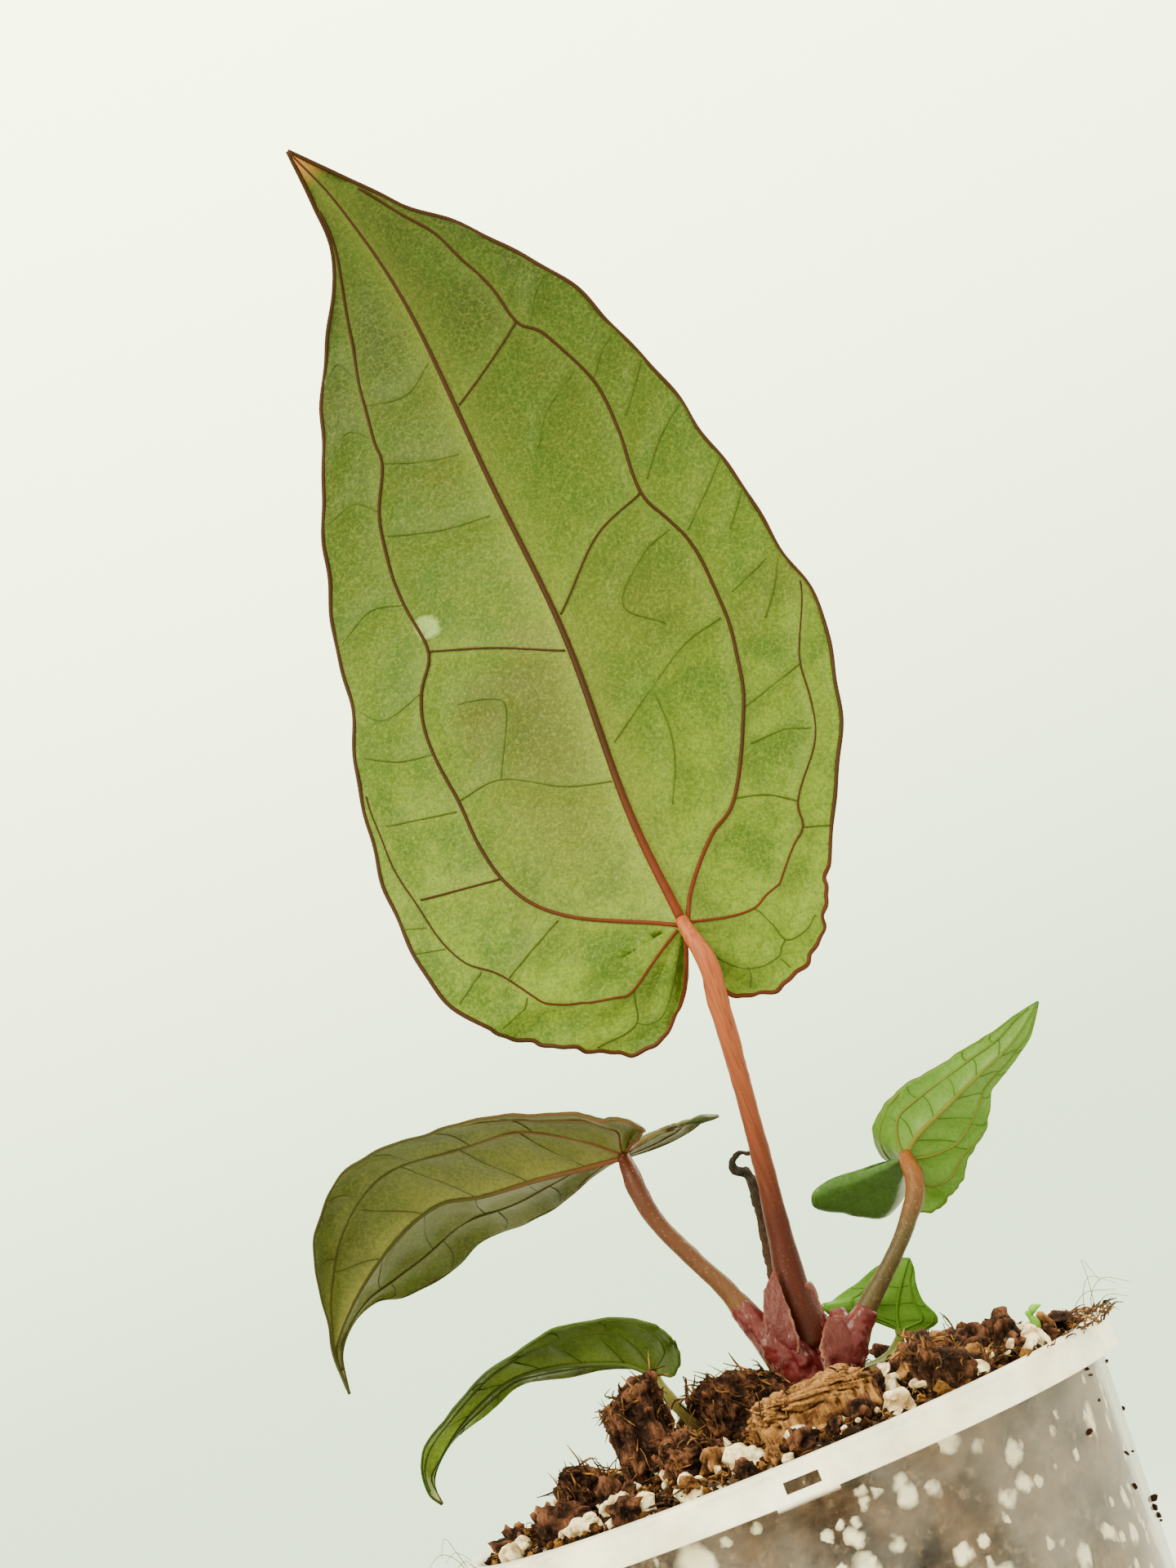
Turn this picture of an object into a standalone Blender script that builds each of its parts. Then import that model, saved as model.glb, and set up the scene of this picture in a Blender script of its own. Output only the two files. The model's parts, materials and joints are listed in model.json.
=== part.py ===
"""A young anthurium in a clear nursery pot of chunky coir and perlite mix.

Sizes are in millimetres and become metres in make_object. +Z is up and the origin is the
middle of the pot's underside. -Y is the side that the undersides of the leaves face.
"""

import math

import bmesh
import bpy
import numpy as np
from mathutils import Matrix, Vector, noise

for old in list(bpy.data.objects):
    bpy.data.objects.remove(old)

MM = 0.001
GAP = 0.3  # between pieces that touch
SEAT_REACH = 2.0  # of a stem's seat past the stem's ends

# Pot
POT_TOP_RADIUS = 45.0  # outside of the collar
POT_HEIGHT = 80.0
POT_BASE_RADIUS = 36.0
POT_WALL = 1.0
POT_SEGMENTS = 60
COLLAR_DROP = 4.0  # the collar hangs this far down outside the wall
COLLAR_WALL = 0.8
COLLAR_SPACE = 1.2  # between the collar and the wall
SLOT_WIDTH = 4.2
SLOT_HEIGHT = 1.4
SLOT_ABOVE_EDGE = 0.9
SLOT_ANGLES = (-88.0, 32.0, 152.0)  # degrees round from +X
LUG_WIDTH = 7.5
LUG_DROP = 0.6
DRAIN_RADIUS = 3.0
DRAIN_RING = 23.0
DRAIN_COUNT = 6

# Potting mix
MOUND_HEIGHT = 4.5  # of the middle of the mix above its edge
MIX_EDGE_DROP = 1.2  # of the edge of the mix below the pot's rim
MIX_ROUGHNESS = 0.6

# Plant
CROWN_X = 7.8
CROWN_RADIUS = 5.4
CROWN_TOP = 12.5  # above the pot's rim
CROWN_LENGTH = 21.0
BLADE_THICKNESS = 0.7
SHEATH_THICKNESS = 0.6
ROOT_RADIUS = 1.2
ROOT_COUNT = 6
ROOT_DROP = 42.0
ROOT_SPREAD = 20.0

FINISHES = {
    "pot_plastic": ((0.72, 0.72, 0.68), 0.35),
    "potting_mix": ((0.07, 0.035, 0.018), 0.95),
    "coir_husk": ((0.16, 0.07, 0.03), 0.95),
    "bark": ((0.50, 0.27, 0.10), 0.9),
    "perlite": ((0.86, 0.82, 0.70), 0.9),
    "leaf": ((0.22, 0.38, 0.07), 0.45),
    "petiole": ((0.28, 0.11, 0.05), 0.5),
    "crown": ((0.35, 0.05, 0.05), 0.45),
    "withered": ((0.035, 0.02, 0.015), 0.8),
    "root": ((0.55, 0.45, 0.30), 0.8),
    "shoot": ((0.25, 0.55, 0.08), 0.5),
}

# Each blade's midrib and its two edges, from the junction with the petiole to the tip.
# The heights are above the pot's rim.
LEAVES = {
    "leaf_1": {
        "midrib": [
            (13.5, 0, 67), (12.5, 2, 85), (13.5, 3, 111.5), (12, 2, 136.5),
            (10.5, -2, 163.5), (7, -6, 180), (3, -10, 189.5),
        ],
        "left": [
            (13.5, 0, 67), (12.5, 1.5, 63.5), (9.5, 4.5, 58), (3, 5.5, 53.5), (-5, 5, 56.5),
            (-16.5, 4, 64), (-22, 4.5, 74.5), (-23, 6, 87), (-22, 7.5, 100.5), (-18.5, 8, 115.5),
            (-16, 7.5, 130.5), (-9, 5.5, 151), (-3, 3, 165), (3, -1, 174.5), (3.5, -6, 182),
            (3, -10, 189.5),
        ],
        "right": [
            (13.5, 0, 67), (15, 1, 61.5), (15, 2, 57), (18, 3, 55), (23, 3.5, 54.5), (30, 4, 58.5),
            (35.5, 5.5, 68.5), (44, 7, 84.5), (48.5, 8, 100.5), (47, 8, 113), (44, 7, 129),
            (40, 5, 144.5), (33.5, 2, 159.5), (24.5, 0, 171), (13.5, -4, 180.5), (3, -10, 189.5),
        ],
        "petiole": [
            (13.5, -2.2, 66.5), (14, -2.6, 64), (14.5, -2.5, 60), (14, -2, 56),
            (13, -1.5, 46), (12, -1, 34.5), (10, -0.5, 21.5), (9, -0.5, 13.2),
        ],
        "radii": (1.1, 1.5, 1.3, 1.25, 1.3, 1.4, 1.6, 1.9),
    },
    "leaf_2": {
        "midrib": [
            (-5.5, 0, 41), (-12, 4, 42), (-18, 7, 43), (-26, 12, 44), (-33, 16, 45.5), (-40.5, 19, 43.5),
            (-48, 21, 39), (-53.5, 22, 34), (-55, 22, 31), (-54.5, 20, 26),
        ],
        "left": [
            (-5.5, 0, 41), (-1.5, 5, 42.5), (3.5, 9, 42.5), (8, 12, 42), (4.5, 14, 42), (-2, 16, 41.5),
            (-9, 18, 41.5), (-14.5, 21, 40.5), (-23, 26, 39), (-30.5, 29, 39), (-37.5, 31, 37),
            (-44, 30, 36), (-48, 27, 36.5), (-51.5, 24.5, 35), (-54, 22.5, 31.5), (-54.5, 20, 26),
        ],
        "right": [
            (-5.5, 0, 41), (-3.5, -4, 42), (-1.5, -9, 42.5), (-3, -11, 44), (-8, -8, 47),
            (-13.5, -4.5, 50), (-20, -1, 52.5), (-27.5, 3, 53.5), (-36, 7, 55), (-42.5, 10, 54),
            (-48, 13, 50.5), (-51.5, 15.5, 46), (-53, 18, 41.5), (-54, 20.5, 36), (-55, 21.5, 32),
            (-54.5, 20, 26),
        ],
        "petiole": [
            (-5.5, -1.2, 39.9), (-5.5, -2.5, 36.5), (-5, -3, 32.5), (-3.5, -3, 28.5), (-1.5, -3, 24.5),
            (0.5, -3, 20.3), (1.6, -2.7, 16.5), (2.2, -2.4, 13.5),
        ],
        "radii": (1.3, 1.25, 1.2, 1.2, 1.25, 1.35, 1.6),
    },
    "leaf_3": {
        "midrib": [
            (-12, -4, 13.5), (-15, -3, 16), (-20, -1, 18), (-26, 1, 19.5), (-32, 3, 19.5),
            (-38.5, 4, 17), (-43.5, 5, 13.5), (-45.5, 5, 11.5), (-45, 4, 8),
        ],
        "left": [
            (-12, -4, 13.5), (-11.5, -1, 13), (-12, 0.5, 13.5), (-15, 2, 15), (-19.5, 4, 16.5),
            (-25, 6, 17.5), (-30.5, 7, 18.3), (-36.5, 8, 16.5), (-41, 8, 15), (-44, 7, 13),
            (-45.5, 6, 10.5),
            (-45, 4, 8),
        ],
        "right": [
            (-12, -4, 13.5), (-9.5, -7, 12.5), (-8, -9, 14.5), (-8, -10.5, 17), (-10, -11, 19.5),
            (-13.5, -10, 22), (-19.5, -8.5, 23), (-25.5, -6, 23), (-32, -3, 21.5), (-38, -1, 19),
            (-43, 1, 16.5), (-45.5, 2.5, 13.5), (-46, 3.2, 10), (-45, 4, 8),
        ],
        "petiole": [
            (-11.9, -4.2, 12.3), (-11, -4.6, 9.5), (-9.5, -4.5, 6.5), (-6.5, -3.6, 3), (-2, -2.2, 0),
            (1.4, -1.2, -2),
        ],
        "radii": (0.9, 0.9, 1.0, 1.1, 1.2, 1.2),
    },
    "leaf_4": {
        "midrib": [
            (29, 0, 27), (31.5, -1, 29), (37.5, -2.5, 31.5), (42.5, -4, 33.5), (47.5, -5, 35.5),
            (52.5, -6, 39),
        ],
        "left": [
            (29, 0, 27), (26.5, 0.6, 27), (23, 0.3, 27.5), (18.5, -0.3, 28), (15.5, -0.5, 27),
            (16, 2, 25),
            (19.5, 5, 23), (23.5, 8, 21), (27, 10, 22.5), (28, 9, 26.5), (26.5, 6.5, 28.5),
            (26.5, 2.5, 31.5), (28.5, 0, 34), (32.5, -1.5, 35.5), (39, -3, 36.5), (45, -4.5, 37.5),
            (49.5, -5.5, 38.5), (52.5, -6, 39),
        ],
        "right": [
            (29, 0, 27), (28.5, 2, 24.5), (27.5, 3, 21), (28.5, 3, 19.5), (31, 3, 19.5), (34, 2.5, 21),
            (37, 1.5, 24), (39.5, 0.5, 26), (41.5, -1, 28.5), (43, -1.5, 31), (46.5, -3, 33),
            (49.5, -4.5, 35), (51.5, -5.5, 37.5), (52.5, -6, 39),
        ],
        "petiole": [
            (28.6, -2.1, 26.6), (29, -2.7, 24.5), (28, -3, 22), (26, -3, 19.5), (23, -3, 16.5),
            (19, -2.8, 13.5), (16, -2.4, 11.2), (13.9, -2, 9.6),
        ],
        "radii": (1.1, 1.2, 1.2, 1.15, 1.2, 1.25, 1.4),
    },
    "leaf_5": {
        "midrib": [(20, 19, 6), (21, 18, 9), (23, 16, 12), (25, 14, 14.5)],
        "left": [
            (20, 19, 6), (16.5, 17.5, 9), (12.5, 15, 11), (11.5, 14, 13), (14, 16, 12.5), (15.5, 17, 13),
            (17.5, 17, 14), (20.5, 16, 15), (23.5, 15, 15), (25, 14, 14.5),
        ],
        "right": [
            (20, 19, 6), (21.5, 19.5, 4.8), (24.5, 18.5, 4.8), (25.5, 17, 5.8), (24.5, 16.5, 8.5),
            (24.5, 15.5, 11), (25, 14.5, 13), (25, 14, 14.5),
        ],
        "petiole": [
            (19.9, 18, 5.1), (19, 15.5, 4.2), (17, 11.5, 3.2), (14.8, 7.8, 3.2), (12.9, 4.9, 3.6),
        ],
        "radii": (0.8, 0.9, 1.0, 1.1, 1.2),
    },
}

# Papery bracts round the crown, from their foot to their tip. Each point is its turn round
# the crown in degrees, its distance outside the crown's side and its height above the rim.
SHEATHS = {
    "sheath_left": {
        "midrib": [(-122.4, 0.76, 9), (-117.8, 0.82, 13), (-112.2, -0.65, 17), (-97.9, -2.47, 20)],
        "left": [
            (-122.4, 0.76, 9), (-132.6, 1.25, 10), (-130.7, 1.19, 13.5), (-125.9, -0.46, 17.5),
            (-97.9, -2.47, 20),
        ],
        "right": [
            (-122.4, 0.76, 9), (-101.7, 1.03, 9.5), (-96.9, 0.44, 12.5), (-97.4, -0.76, 16.5),
            (-97.9, -2.47, 20),
        ],
    },
    "sheath_right": {
        "midrib": [(-45, 1.67, 5), (-44.5, 2.17, 7.5), (-45, 1.53, 10), (-45, -0.03, 11.8)],
        "left": [
            (-45, 1.67, 5), (-73.4, 1.59, 5.5), (-81.6, 1.47, 8), (-66, 0.51, 10.5),
            (-45, -0.03, 11.8),
        ],
        "right": [
            (-45, 1.67, 5), (-28.6, 2.12, 5.5), (-28.4, 2.79, 8), (-33, 1.76, 10.6),
            (-45, -0.03, 11.8),
        ],
    },
    "sheath_back": {
        "midrib": [(80.8, 0.88, 6), (78, 1.35, 9), (75.1, 0.81, 12), (72.3, -0.78, 14.5)],
        "left": [
            (80.8, 0.88, 6), (106.7, 0.86, 7), (108.4, 0.92, 10), (94.2, 0.01, 12.6),
            (72.3, -0.78, 14.5),
        ],
        "right": [
            (80.8, 0.88, 6), (55.8, 1.37, 7), (53.1, 1.6, 10), (58.4, 0.71, 12.8),
            (72.3, -0.78, 14.5),
        ],
    },
}

# A withered flower stalk behind the main petiole, its points placed as in SHEATHS.
STALK = [
    (110.9, -0.91, 13.2), (100.3, -0.93, 19.5), (92.6, -1, 24), (81, -0.94, 28.5),
    (74.7, -0.84, 31), (77.2, -0.89, 33), (94.1, -1.19, 34), (92.9, -1.49, 35.2),
    (75.3, -1.47, 35.8), (59, -0.74, 35.2),
]
STALK_RADII = (1.0, 0.95, 0.9, 0.8, 0.55, 0.6, 0.75, 0.7, 0.5, 0.3)

# Chunks on the mix: place, size, turn and how much of the height is below the surface.
CHUNKS = {
    "husk_chunk_1": ((-3.2, -9.5), (14.0, 7.5, 10.5), 10, "coir_husk", 0.2),
    "husk_chunk_2": ((-15.4, -14.5), (8.0, 8.5, 12.5), -20, "coir_husk", 0.14),
    "husk_chunk_3": ((22.8, -25.5), (10.0, 9.0, 10.0), 15, "coir_husk", 0.35),
    "husk_chunk_4": ((-25.0, -14.5), (6.5, 7.5, 8.0), 30, "coir_husk", 0.25),
    "husk_chunk_5": ((-10.0, -24.0), (8.5, 7.5, 9.5), -10, "coir_husk", 0.42),
    "husk_chunk_6": ((-8.0, 17.0), (12.0, 9.0, 8.0), 40, "coir_husk", 0.4),
    "husk_chunk_7": ((26.0, 27.0), (9.0, 7.0, 7.0), -30, "coir_husk", 0.4),
    "bark_slab": ((5.6, -26.6), (17.0, 10.5, 9.0), 8, "bark", 0.4),
    "bark_chip": ((-26.0, 22.0), (10.0, 6.0, 5.0), 55, "bark", 0.4),
}

# Perlite grains: place and width.
GRAINS = [
    (-3.8, -33.4, 6.2), (-10.8, -34.6, 5.0), (-16.6, -32.6, 4.4), (-20.6, -25.0, 4.2), (-25.0, -28.2, 4.6),
    (-34.4, -17.0, 4.4), (15.0, -33.6, 4.8), (-0.6, -19.2, 3.6), (15.6, -8.6, 3.6), (20.6, 6.6, 4.6),
    (33.4, -20.0, 5.4), (29.6, 4.6, 4.8), (16.2, -13.8, 3.8), (-30.0, 4.0, 5.2), (2.0, 30.0, 5.6),
    (12.0, 24.0, 4.4),
]
GRAIN_SINK = 0.35

SHOOT = [(34.6, -13.0, 0.2), (35.0, -13.4, 2.0), (34.4, -13.8, 3.8)]
SHOOT_RADII = (0.5, 0.7, 0.25)


def inner_radius(z):
    """Inner radius of the pot's wall at a height."""
    top = POT_TOP_RADIUS - COLLAR_WALL - COLLAR_SPACE - POT_WALL
    foot = POT_BASE_RADIUS - POT_WALL
    return foot + (top - foot) * z / POT_HEIGHT


def mound(x, y):
    """Height of the smooth top of the mix."""
    edge = POT_HEIGHT - MIX_EDGE_DROP
    far = min(math.hypot(x, y) / inner_radius(edge), 1.0)
    return edge + MOUND_HEIGHT * (1.0 - far * far)


def above_rim(points):
    """The points with their heights counted from the pot's underside."""
    return [(x, y, z + POT_HEIGHT) for x, y, z in points]


def finish(name):
    """The Principled material of one kind of piece."""
    made = bpy.data.materials.get(name)
    if made is None:
        colour, roughness = FINISHES[name]
        made = bpy.data.materials.new(name)
        made.use_nodes = True
        shader = made.node_tree.nodes["Principled BSDF"]
        shader.inputs["Base Color"].default_value = (*colour, 1.0)
        shader.inputs["Roughness"].default_value = roughness
        shader.inputs["Metallic"].default_value = 0.0
    return made


def make_object(name, shape, paint, smooth=True):
    """An object from a bmesh in millimetres, scaled to metres."""
    mesh = bpy.data.meshes.new(name)
    shape.to_mesh(mesh)
    shape.free()
    mesh.transform(Matrix.Scale(MM, 4))
    if smooth:
        mesh.shade_smooth()
        mesh.set_sharp_from_angle(angle=math.radians(40.0))
    mesh.materials.append(finish(paint))
    thing = bpy.data.objects.new(name, mesh)
    bpy.context.scene.collection.objects.link(thing)
    return thing


def boolean(target, cutter, operation="DIFFERENCE"):
    cutter.hide_render = True
    cutter.display_type = "WIRE"
    modifier = target.modifiers.new(cutter.name, "BOOLEAN")
    modifier.operation = operation
    modifier.object = cutter


def smooth_points(points, count):
    """count points at equal spacing along a smooth curve through the given points."""
    given = np.array(points, float)
    ends = np.vstack([2 * given[0] - given[1], given, 2 * given[-1] - given[-2]])
    place = np.linspace(0, len(given) - 1, 40 * len(given))
    first = np.minimum(place.astype(int), len(given) - 2)
    part = (place - first)[:, None]
    a, b, c, d = (ends[first + k] for k in range(4))
    bend = (2 * a - 5 * b + 4 * c - d) * part**2 + (3 * b - a - 3 * c + d) * part**3
    dense = 0.5 * (2 * b + (c - a) * part + bend)
    run = np.concatenate([[0], np.cumsum(np.linalg.norm(np.diff(dense, axis=0), axis=1))])
    wanted = np.linspace(0, run[-1], count)
    return np.stack([np.interp(wanted, run, dense[:, k]) for k in range(3)], axis=1)


def turned(profile, segments, centre=(0.0, 0.0)):
    """A closed body turned round a vertical line from (radius, height) points that end on the line."""
    mesh = bmesh.new()
    rings = []
    for radius, height in profile:
        corners = segments if radius else 1
        ring = []
        for k in range(corners):
            turn = 2 * math.pi * k / segments
            x = centre[0] + radius * math.cos(turn)
            y = centre[1] + radius * math.sin(turn)
            ring.append(mesh.verts.new((x, y, height)))
        rings.append(ring)
    for low, high in zip(rings, rings[1:]):
        for k in range(segments):
            near = [low[k % len(low)], low[(k + 1) % len(low)]]
            far = [high[(k + 1) % len(high)], high[k % len(high)]]
            corners = list(dict.fromkeys(near + far))
            if len(corners) > 2:
                mesh.faces.new(corners)
    bmesh.ops.recalc_face_normals(mesh, faces=mesh.faces)
    return mesh


def collar_box(name, size, centre, turn):
    """A box across the collar, turned round to one of the slots."""
    mesh = bmesh.new()
    bmesh.ops.create_cube(mesh, size=1.0, matrix=Matrix.Diagonal((*size, 1.0)))
    bmesh.ops.translate(mesh, verts=mesh.verts, vec=centre)
    spin = Matrix.Rotation(math.radians(turn), 3, "Z")
    bmesh.ops.rotate(mesh, verts=mesh.verts, matrix=spin, cent=(0.0, 0.0, 0.0))
    return make_object(name, mesh, "pot_plastic", smooth=False)


def build_pot():
    """Tapered wall and floor, with a collar that hangs outside the top of the wall."""
    skirt = POT_TOP_RADIUS - COLLAR_WALL
    wall_top = skirt - COLLAR_SPACE
    low = POT_HEIGHT - COLLAR_DROP
    flange = POT_HEIGHT - POT_WALL
    lip = 0.2  # the collar's edge stands this far out
    bevel = 0.5
    profile = [
        (0.0, 0.0),
        (POT_BASE_RADIUS - bevel * 2, 0.0),
        (POT_BASE_RADIUS, bevel * 2),
        (wall_top, flange),
        (skirt, flange),
        (skirt, low),
        (POT_TOP_RADIUS + lip, low),
        (POT_TOP_RADIUS + lip, low + bevel),
        (POT_TOP_RADIUS, low + bevel + lip),
        (POT_TOP_RADIUS, POT_HEIGHT - bevel),
        (POT_TOP_RADIUS - bevel, POT_HEIGHT),
        (inner_radius(POT_HEIGHT), POT_HEIGHT),
        (inner_radius(POT_WALL * 2), POT_WALL * 2),
        (inner_radius(0.0) - bevel * 2, POT_WALL),
        (0.0, POT_WALL),
    ]
    pot = make_object("pot", turned(profile, POT_SEGMENTS), "pot_plastic")
    middle = POT_TOP_RADIUS - COLLAR_WALL / 2
    for number, angle in enumerate(SLOT_ANGLES, 1):
        lug_size = (COLLAR_WALL * 0.8, LUG_WIDTH, LUG_DROP * 2)
        boolean(pot, collar_box(f"lug_{number}", lug_size, (middle, 0.0, low), angle), "UNION")
        slot_size = (COLLAR_WALL * 2, SLOT_WIDTH, SLOT_HEIGHT)
        slot_height = low + SLOT_ABOVE_EDGE + SLOT_HEIGHT / 2
        boolean(pot, collar_box(f"slot_{number}", slot_size, (middle, 0.0, slot_height), angle))
    for number in range(1, DRAIN_COUNT + 1):
        hole = bmesh.new()
        bmesh.ops.create_cone(
            hole, cap_ends=True, segments=12,
            radius1=DRAIN_RADIUS, radius2=DRAIN_RADIUS, depth=4 * POT_WALL,
        )
        turn = 2 * math.pi * number / DRAIN_COUNT
        place = (DRAIN_RING * math.cos(turn), DRAIN_RING * math.sin(turn), 0.0)
        spin = Matrix.Rotation(math.radians(7.0), 3, "Z")  # no corner lies on an edge of the floor
        bmesh.ops.rotate(hole, verts=hole.verts, matrix=spin, cent=(0.0, 0.0, 0.0))
        bmesh.ops.translate(hole, verts=hole.verts, vec=place)
        boolean(pot, make_object(f"drain_{number}", hole, "pot_plastic", smooth=False))


def build_mix(seats):
    """The mix fills the pot to a rough mound, with a seat for everything set in it."""
    floor = POT_WALL + GAP
    edge = POT_HEIGHT - MIX_EDGE_DROP
    outer = inner_radius(edge) - GAP
    rows = 9
    profile = [
        (0.0, floor), (inner_radius(floor) - 2.0, floor), (inner_radius(floor * 2) - GAP, floor * 2),
    ]
    profile += [(outer * (rows - k) / rows, edge) for k in range(rows)]
    profile.append((0.0, edge))
    mesh = turned(profile, 40)
    for vert in mesh.verts:
        x, y, z = vert.co
        if abs(z - edge) < 0.01 and math.hypot(x, y) < outer - 0.01:
            vert.co.z = mound(x, y) + 2 * MIX_ROUGHNESS * noise.noise(Vector((x, y, 0.0)) * 0.16)
    mix = make_object("potting_mix", mesh, "potting_mix")
    for seat in seats:
        boolean(mix, seat)


def lump_mesh(centre, size, turn, seed, ragged, grow):
    """A ragged lump. grow moves its skin outwards, for the seat that it sits in."""
    mesh = bmesh.new()
    bmesh.ops.create_icosphere(mesh, subdivisions=2, radius=1.0)
    spin = Matrix.Rotation(math.radians(turn), 3, "Z")
    half = Vector(size) * 0.5
    for vert in mesh.verts:
        way = vert.co.normalized()
        swell = 1.0 + ragged * noise.noise(way * 1.6 + Vector((seed, 0.0, 0.0)))
        skin = Vector((way.x * half.x, way.y * half.y, way.z * half.z)) * swell
        outward = Vector((way.x / half.x, way.y / half.y, way.z / half.z)).normalized()
        vert.co = spin @ (skin + outward * grow) + Vector(centre)
    return mesh


def build_lump(name, place, size, turn, paint, sink, ragged=0.35):
    """A lump set in the top of the mix. Returns the cutter for its seat."""
    seed = sum(ord(letter) for letter in name) * 0.37
    centre = (*place, mound(*place) + size[2] * (0.5 - sink))
    make_object(name, lump_mesh(centre, size, turn, seed, ragged, 0.0), paint)
    return make_object(name + "_seat", lump_mesh(centre, size, turn, seed, ragged, GAP), paint)


def tube(name, points, radii, paint, count=14, sides=8, grow=0.0):
    """A tapering round stem along a smooth curve, with flat ends. grow makes the seat it lies in."""
    line = smooth_points(points, count)
    if grow:
        for end, inner in ((0, 1), (-1, -2)):
            away = line[end] - line[inner]
            line[end] += away / np.linalg.norm(away) * SEAT_REACH
    widths = np.interp(np.linspace(0, 1, count), np.linspace(0, 1, len(radii)), radii) + grow
    mesh = bmesh.new()
    rings = []
    side = Vector((1.0, 0.0, 0.0))
    for k in range(count):
        ahead = Vector(line[min(k + 1, count - 1)] - line[max(k - 1, 0)]).normalized()
        side = (side - ahead * side.dot(ahead)).normalized()
        across = ahead.cross(side)
        ring = []
        for corner in range(sides):
            turn = 2 * math.pi * corner / sides
            out = side * math.cos(turn) + across * math.sin(turn)
            ring.append(mesh.verts.new(Vector(line[k]) + out * widths[k]))
        rings.append(ring)
    for low, high in zip(rings, rings[1:]):
        for k in range(sides):
            mesh.faces.new([low[k], low[(k + 1) % sides], high[(k + 1) % sides], high[k]])
    mesh.faces.new(rings[0])
    mesh.faces.new(rings[-1])
    bmesh.ops.recalc_face_normals(mesh, faces=mesh.faces)
    return make_object(name, mesh, paint)


def half_blade(mesh, spine, outline, ribs, across, camber):
    """One half of a blade, ruled from the midrib to its edge.

    The first ribs fan out from the junction as far as the outline lies behind it, which makes
    the lobe. The others start at each point of the spine, which both halves share.
    """
    edge = smooth_points(above_rim(outline), 400)
    fan = np.nonzero((edge - edge[0]) @ (spine[1] - spine[0]) <= 0.0)[0][-1]
    lobe = edge[np.linspace(0, fan, ribs + 1).astype(int)[1:]]
    rest = edge[np.linspace(fan, len(edge) - 1, len(spine)).astype(int)[1:]]
    roots = np.vstack([np.repeat(spine[:1], ribs, axis=0), spine[1:]])
    rows = []
    for root, tip in zip(roots, np.vstack([lobe, rest])):
        row = []
        for step in range(across + 1):
            share = step / across
            bow = camber * 4 * share * (1 - share) * min(1.0, np.linalg.norm(tip - root) / 10)
            row.append(mesh.verts.new(root * (1 - share) + tip * share + bow))
        rows.append(row)
    for low, high in zip(rows, rows[1:]):
        for step in range(across):
            mesh.faces.new([low[step], low[step + 1], high[step + 1], high[step]])


def blade(name, midrib, left, right, paint, thickness, stations=20, across=4, camber=0.8):
    """A thin blade ruled from its midrib to its two edges, and bowed a little between them."""
    spine = smooth_points(above_rim(midrib), stations)
    middle = np.array(right[len(right) // 2], float) - np.array(left[len(left) // 2], float)
    upper = np.cross(spine[-1] - spine[0], middle)
    bow = upper / np.linalg.norm(upper) * camber
    mesh = bmesh.new()
    for outline in (left, right):
        half_blade(mesh, spine, outline, stations // 2, across, bow)
    bmesh.ops.remove_doubles(mesh, verts=mesh.verts, dist=0.01)
    bmesh.ops.recalc_face_normals(mesh, faces=mesh.faces)
    piece = make_object(name, mesh, paint)
    solid = piece.modifiers.new("thickness", "SOLIDIFY")
    solid.thickness = thickness * MM
    solid.offset = 0.0


def crown_profile(grow):
    """The stub of stem that the petioles rise from, as (radius, height)."""
    top = POT_HEIGHT + CROWN_TOP + grow
    foot = POT_HEIGHT + CROWN_TOP - CROWN_LENGTH - grow
    shape = [
        (0.0, 0.0), (0.42, 0.02), (0.6, 0.2), (0.8, 0.42),
        (1.0, 0.68), (0.96, 0.84), (0.66, 0.96), (0.0, 1.0),
    ]
    return [
        (radius * CROWN_RADIUS + (grow if radius else 0.0), foot + share * (top - foot))
        for radius, share in shape
    ]


def round_crown(points):
    """The (x, y, height) of points given round the crown, as in SHEATHS."""
    places = []
    for turn, outside, height in points:
        angle = math.radians(turn)
        radius = CROWN_RADIUS + outside
        places.append((CROWN_X + radius * math.cos(angle), radius * math.sin(angle), height))
    return places


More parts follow.
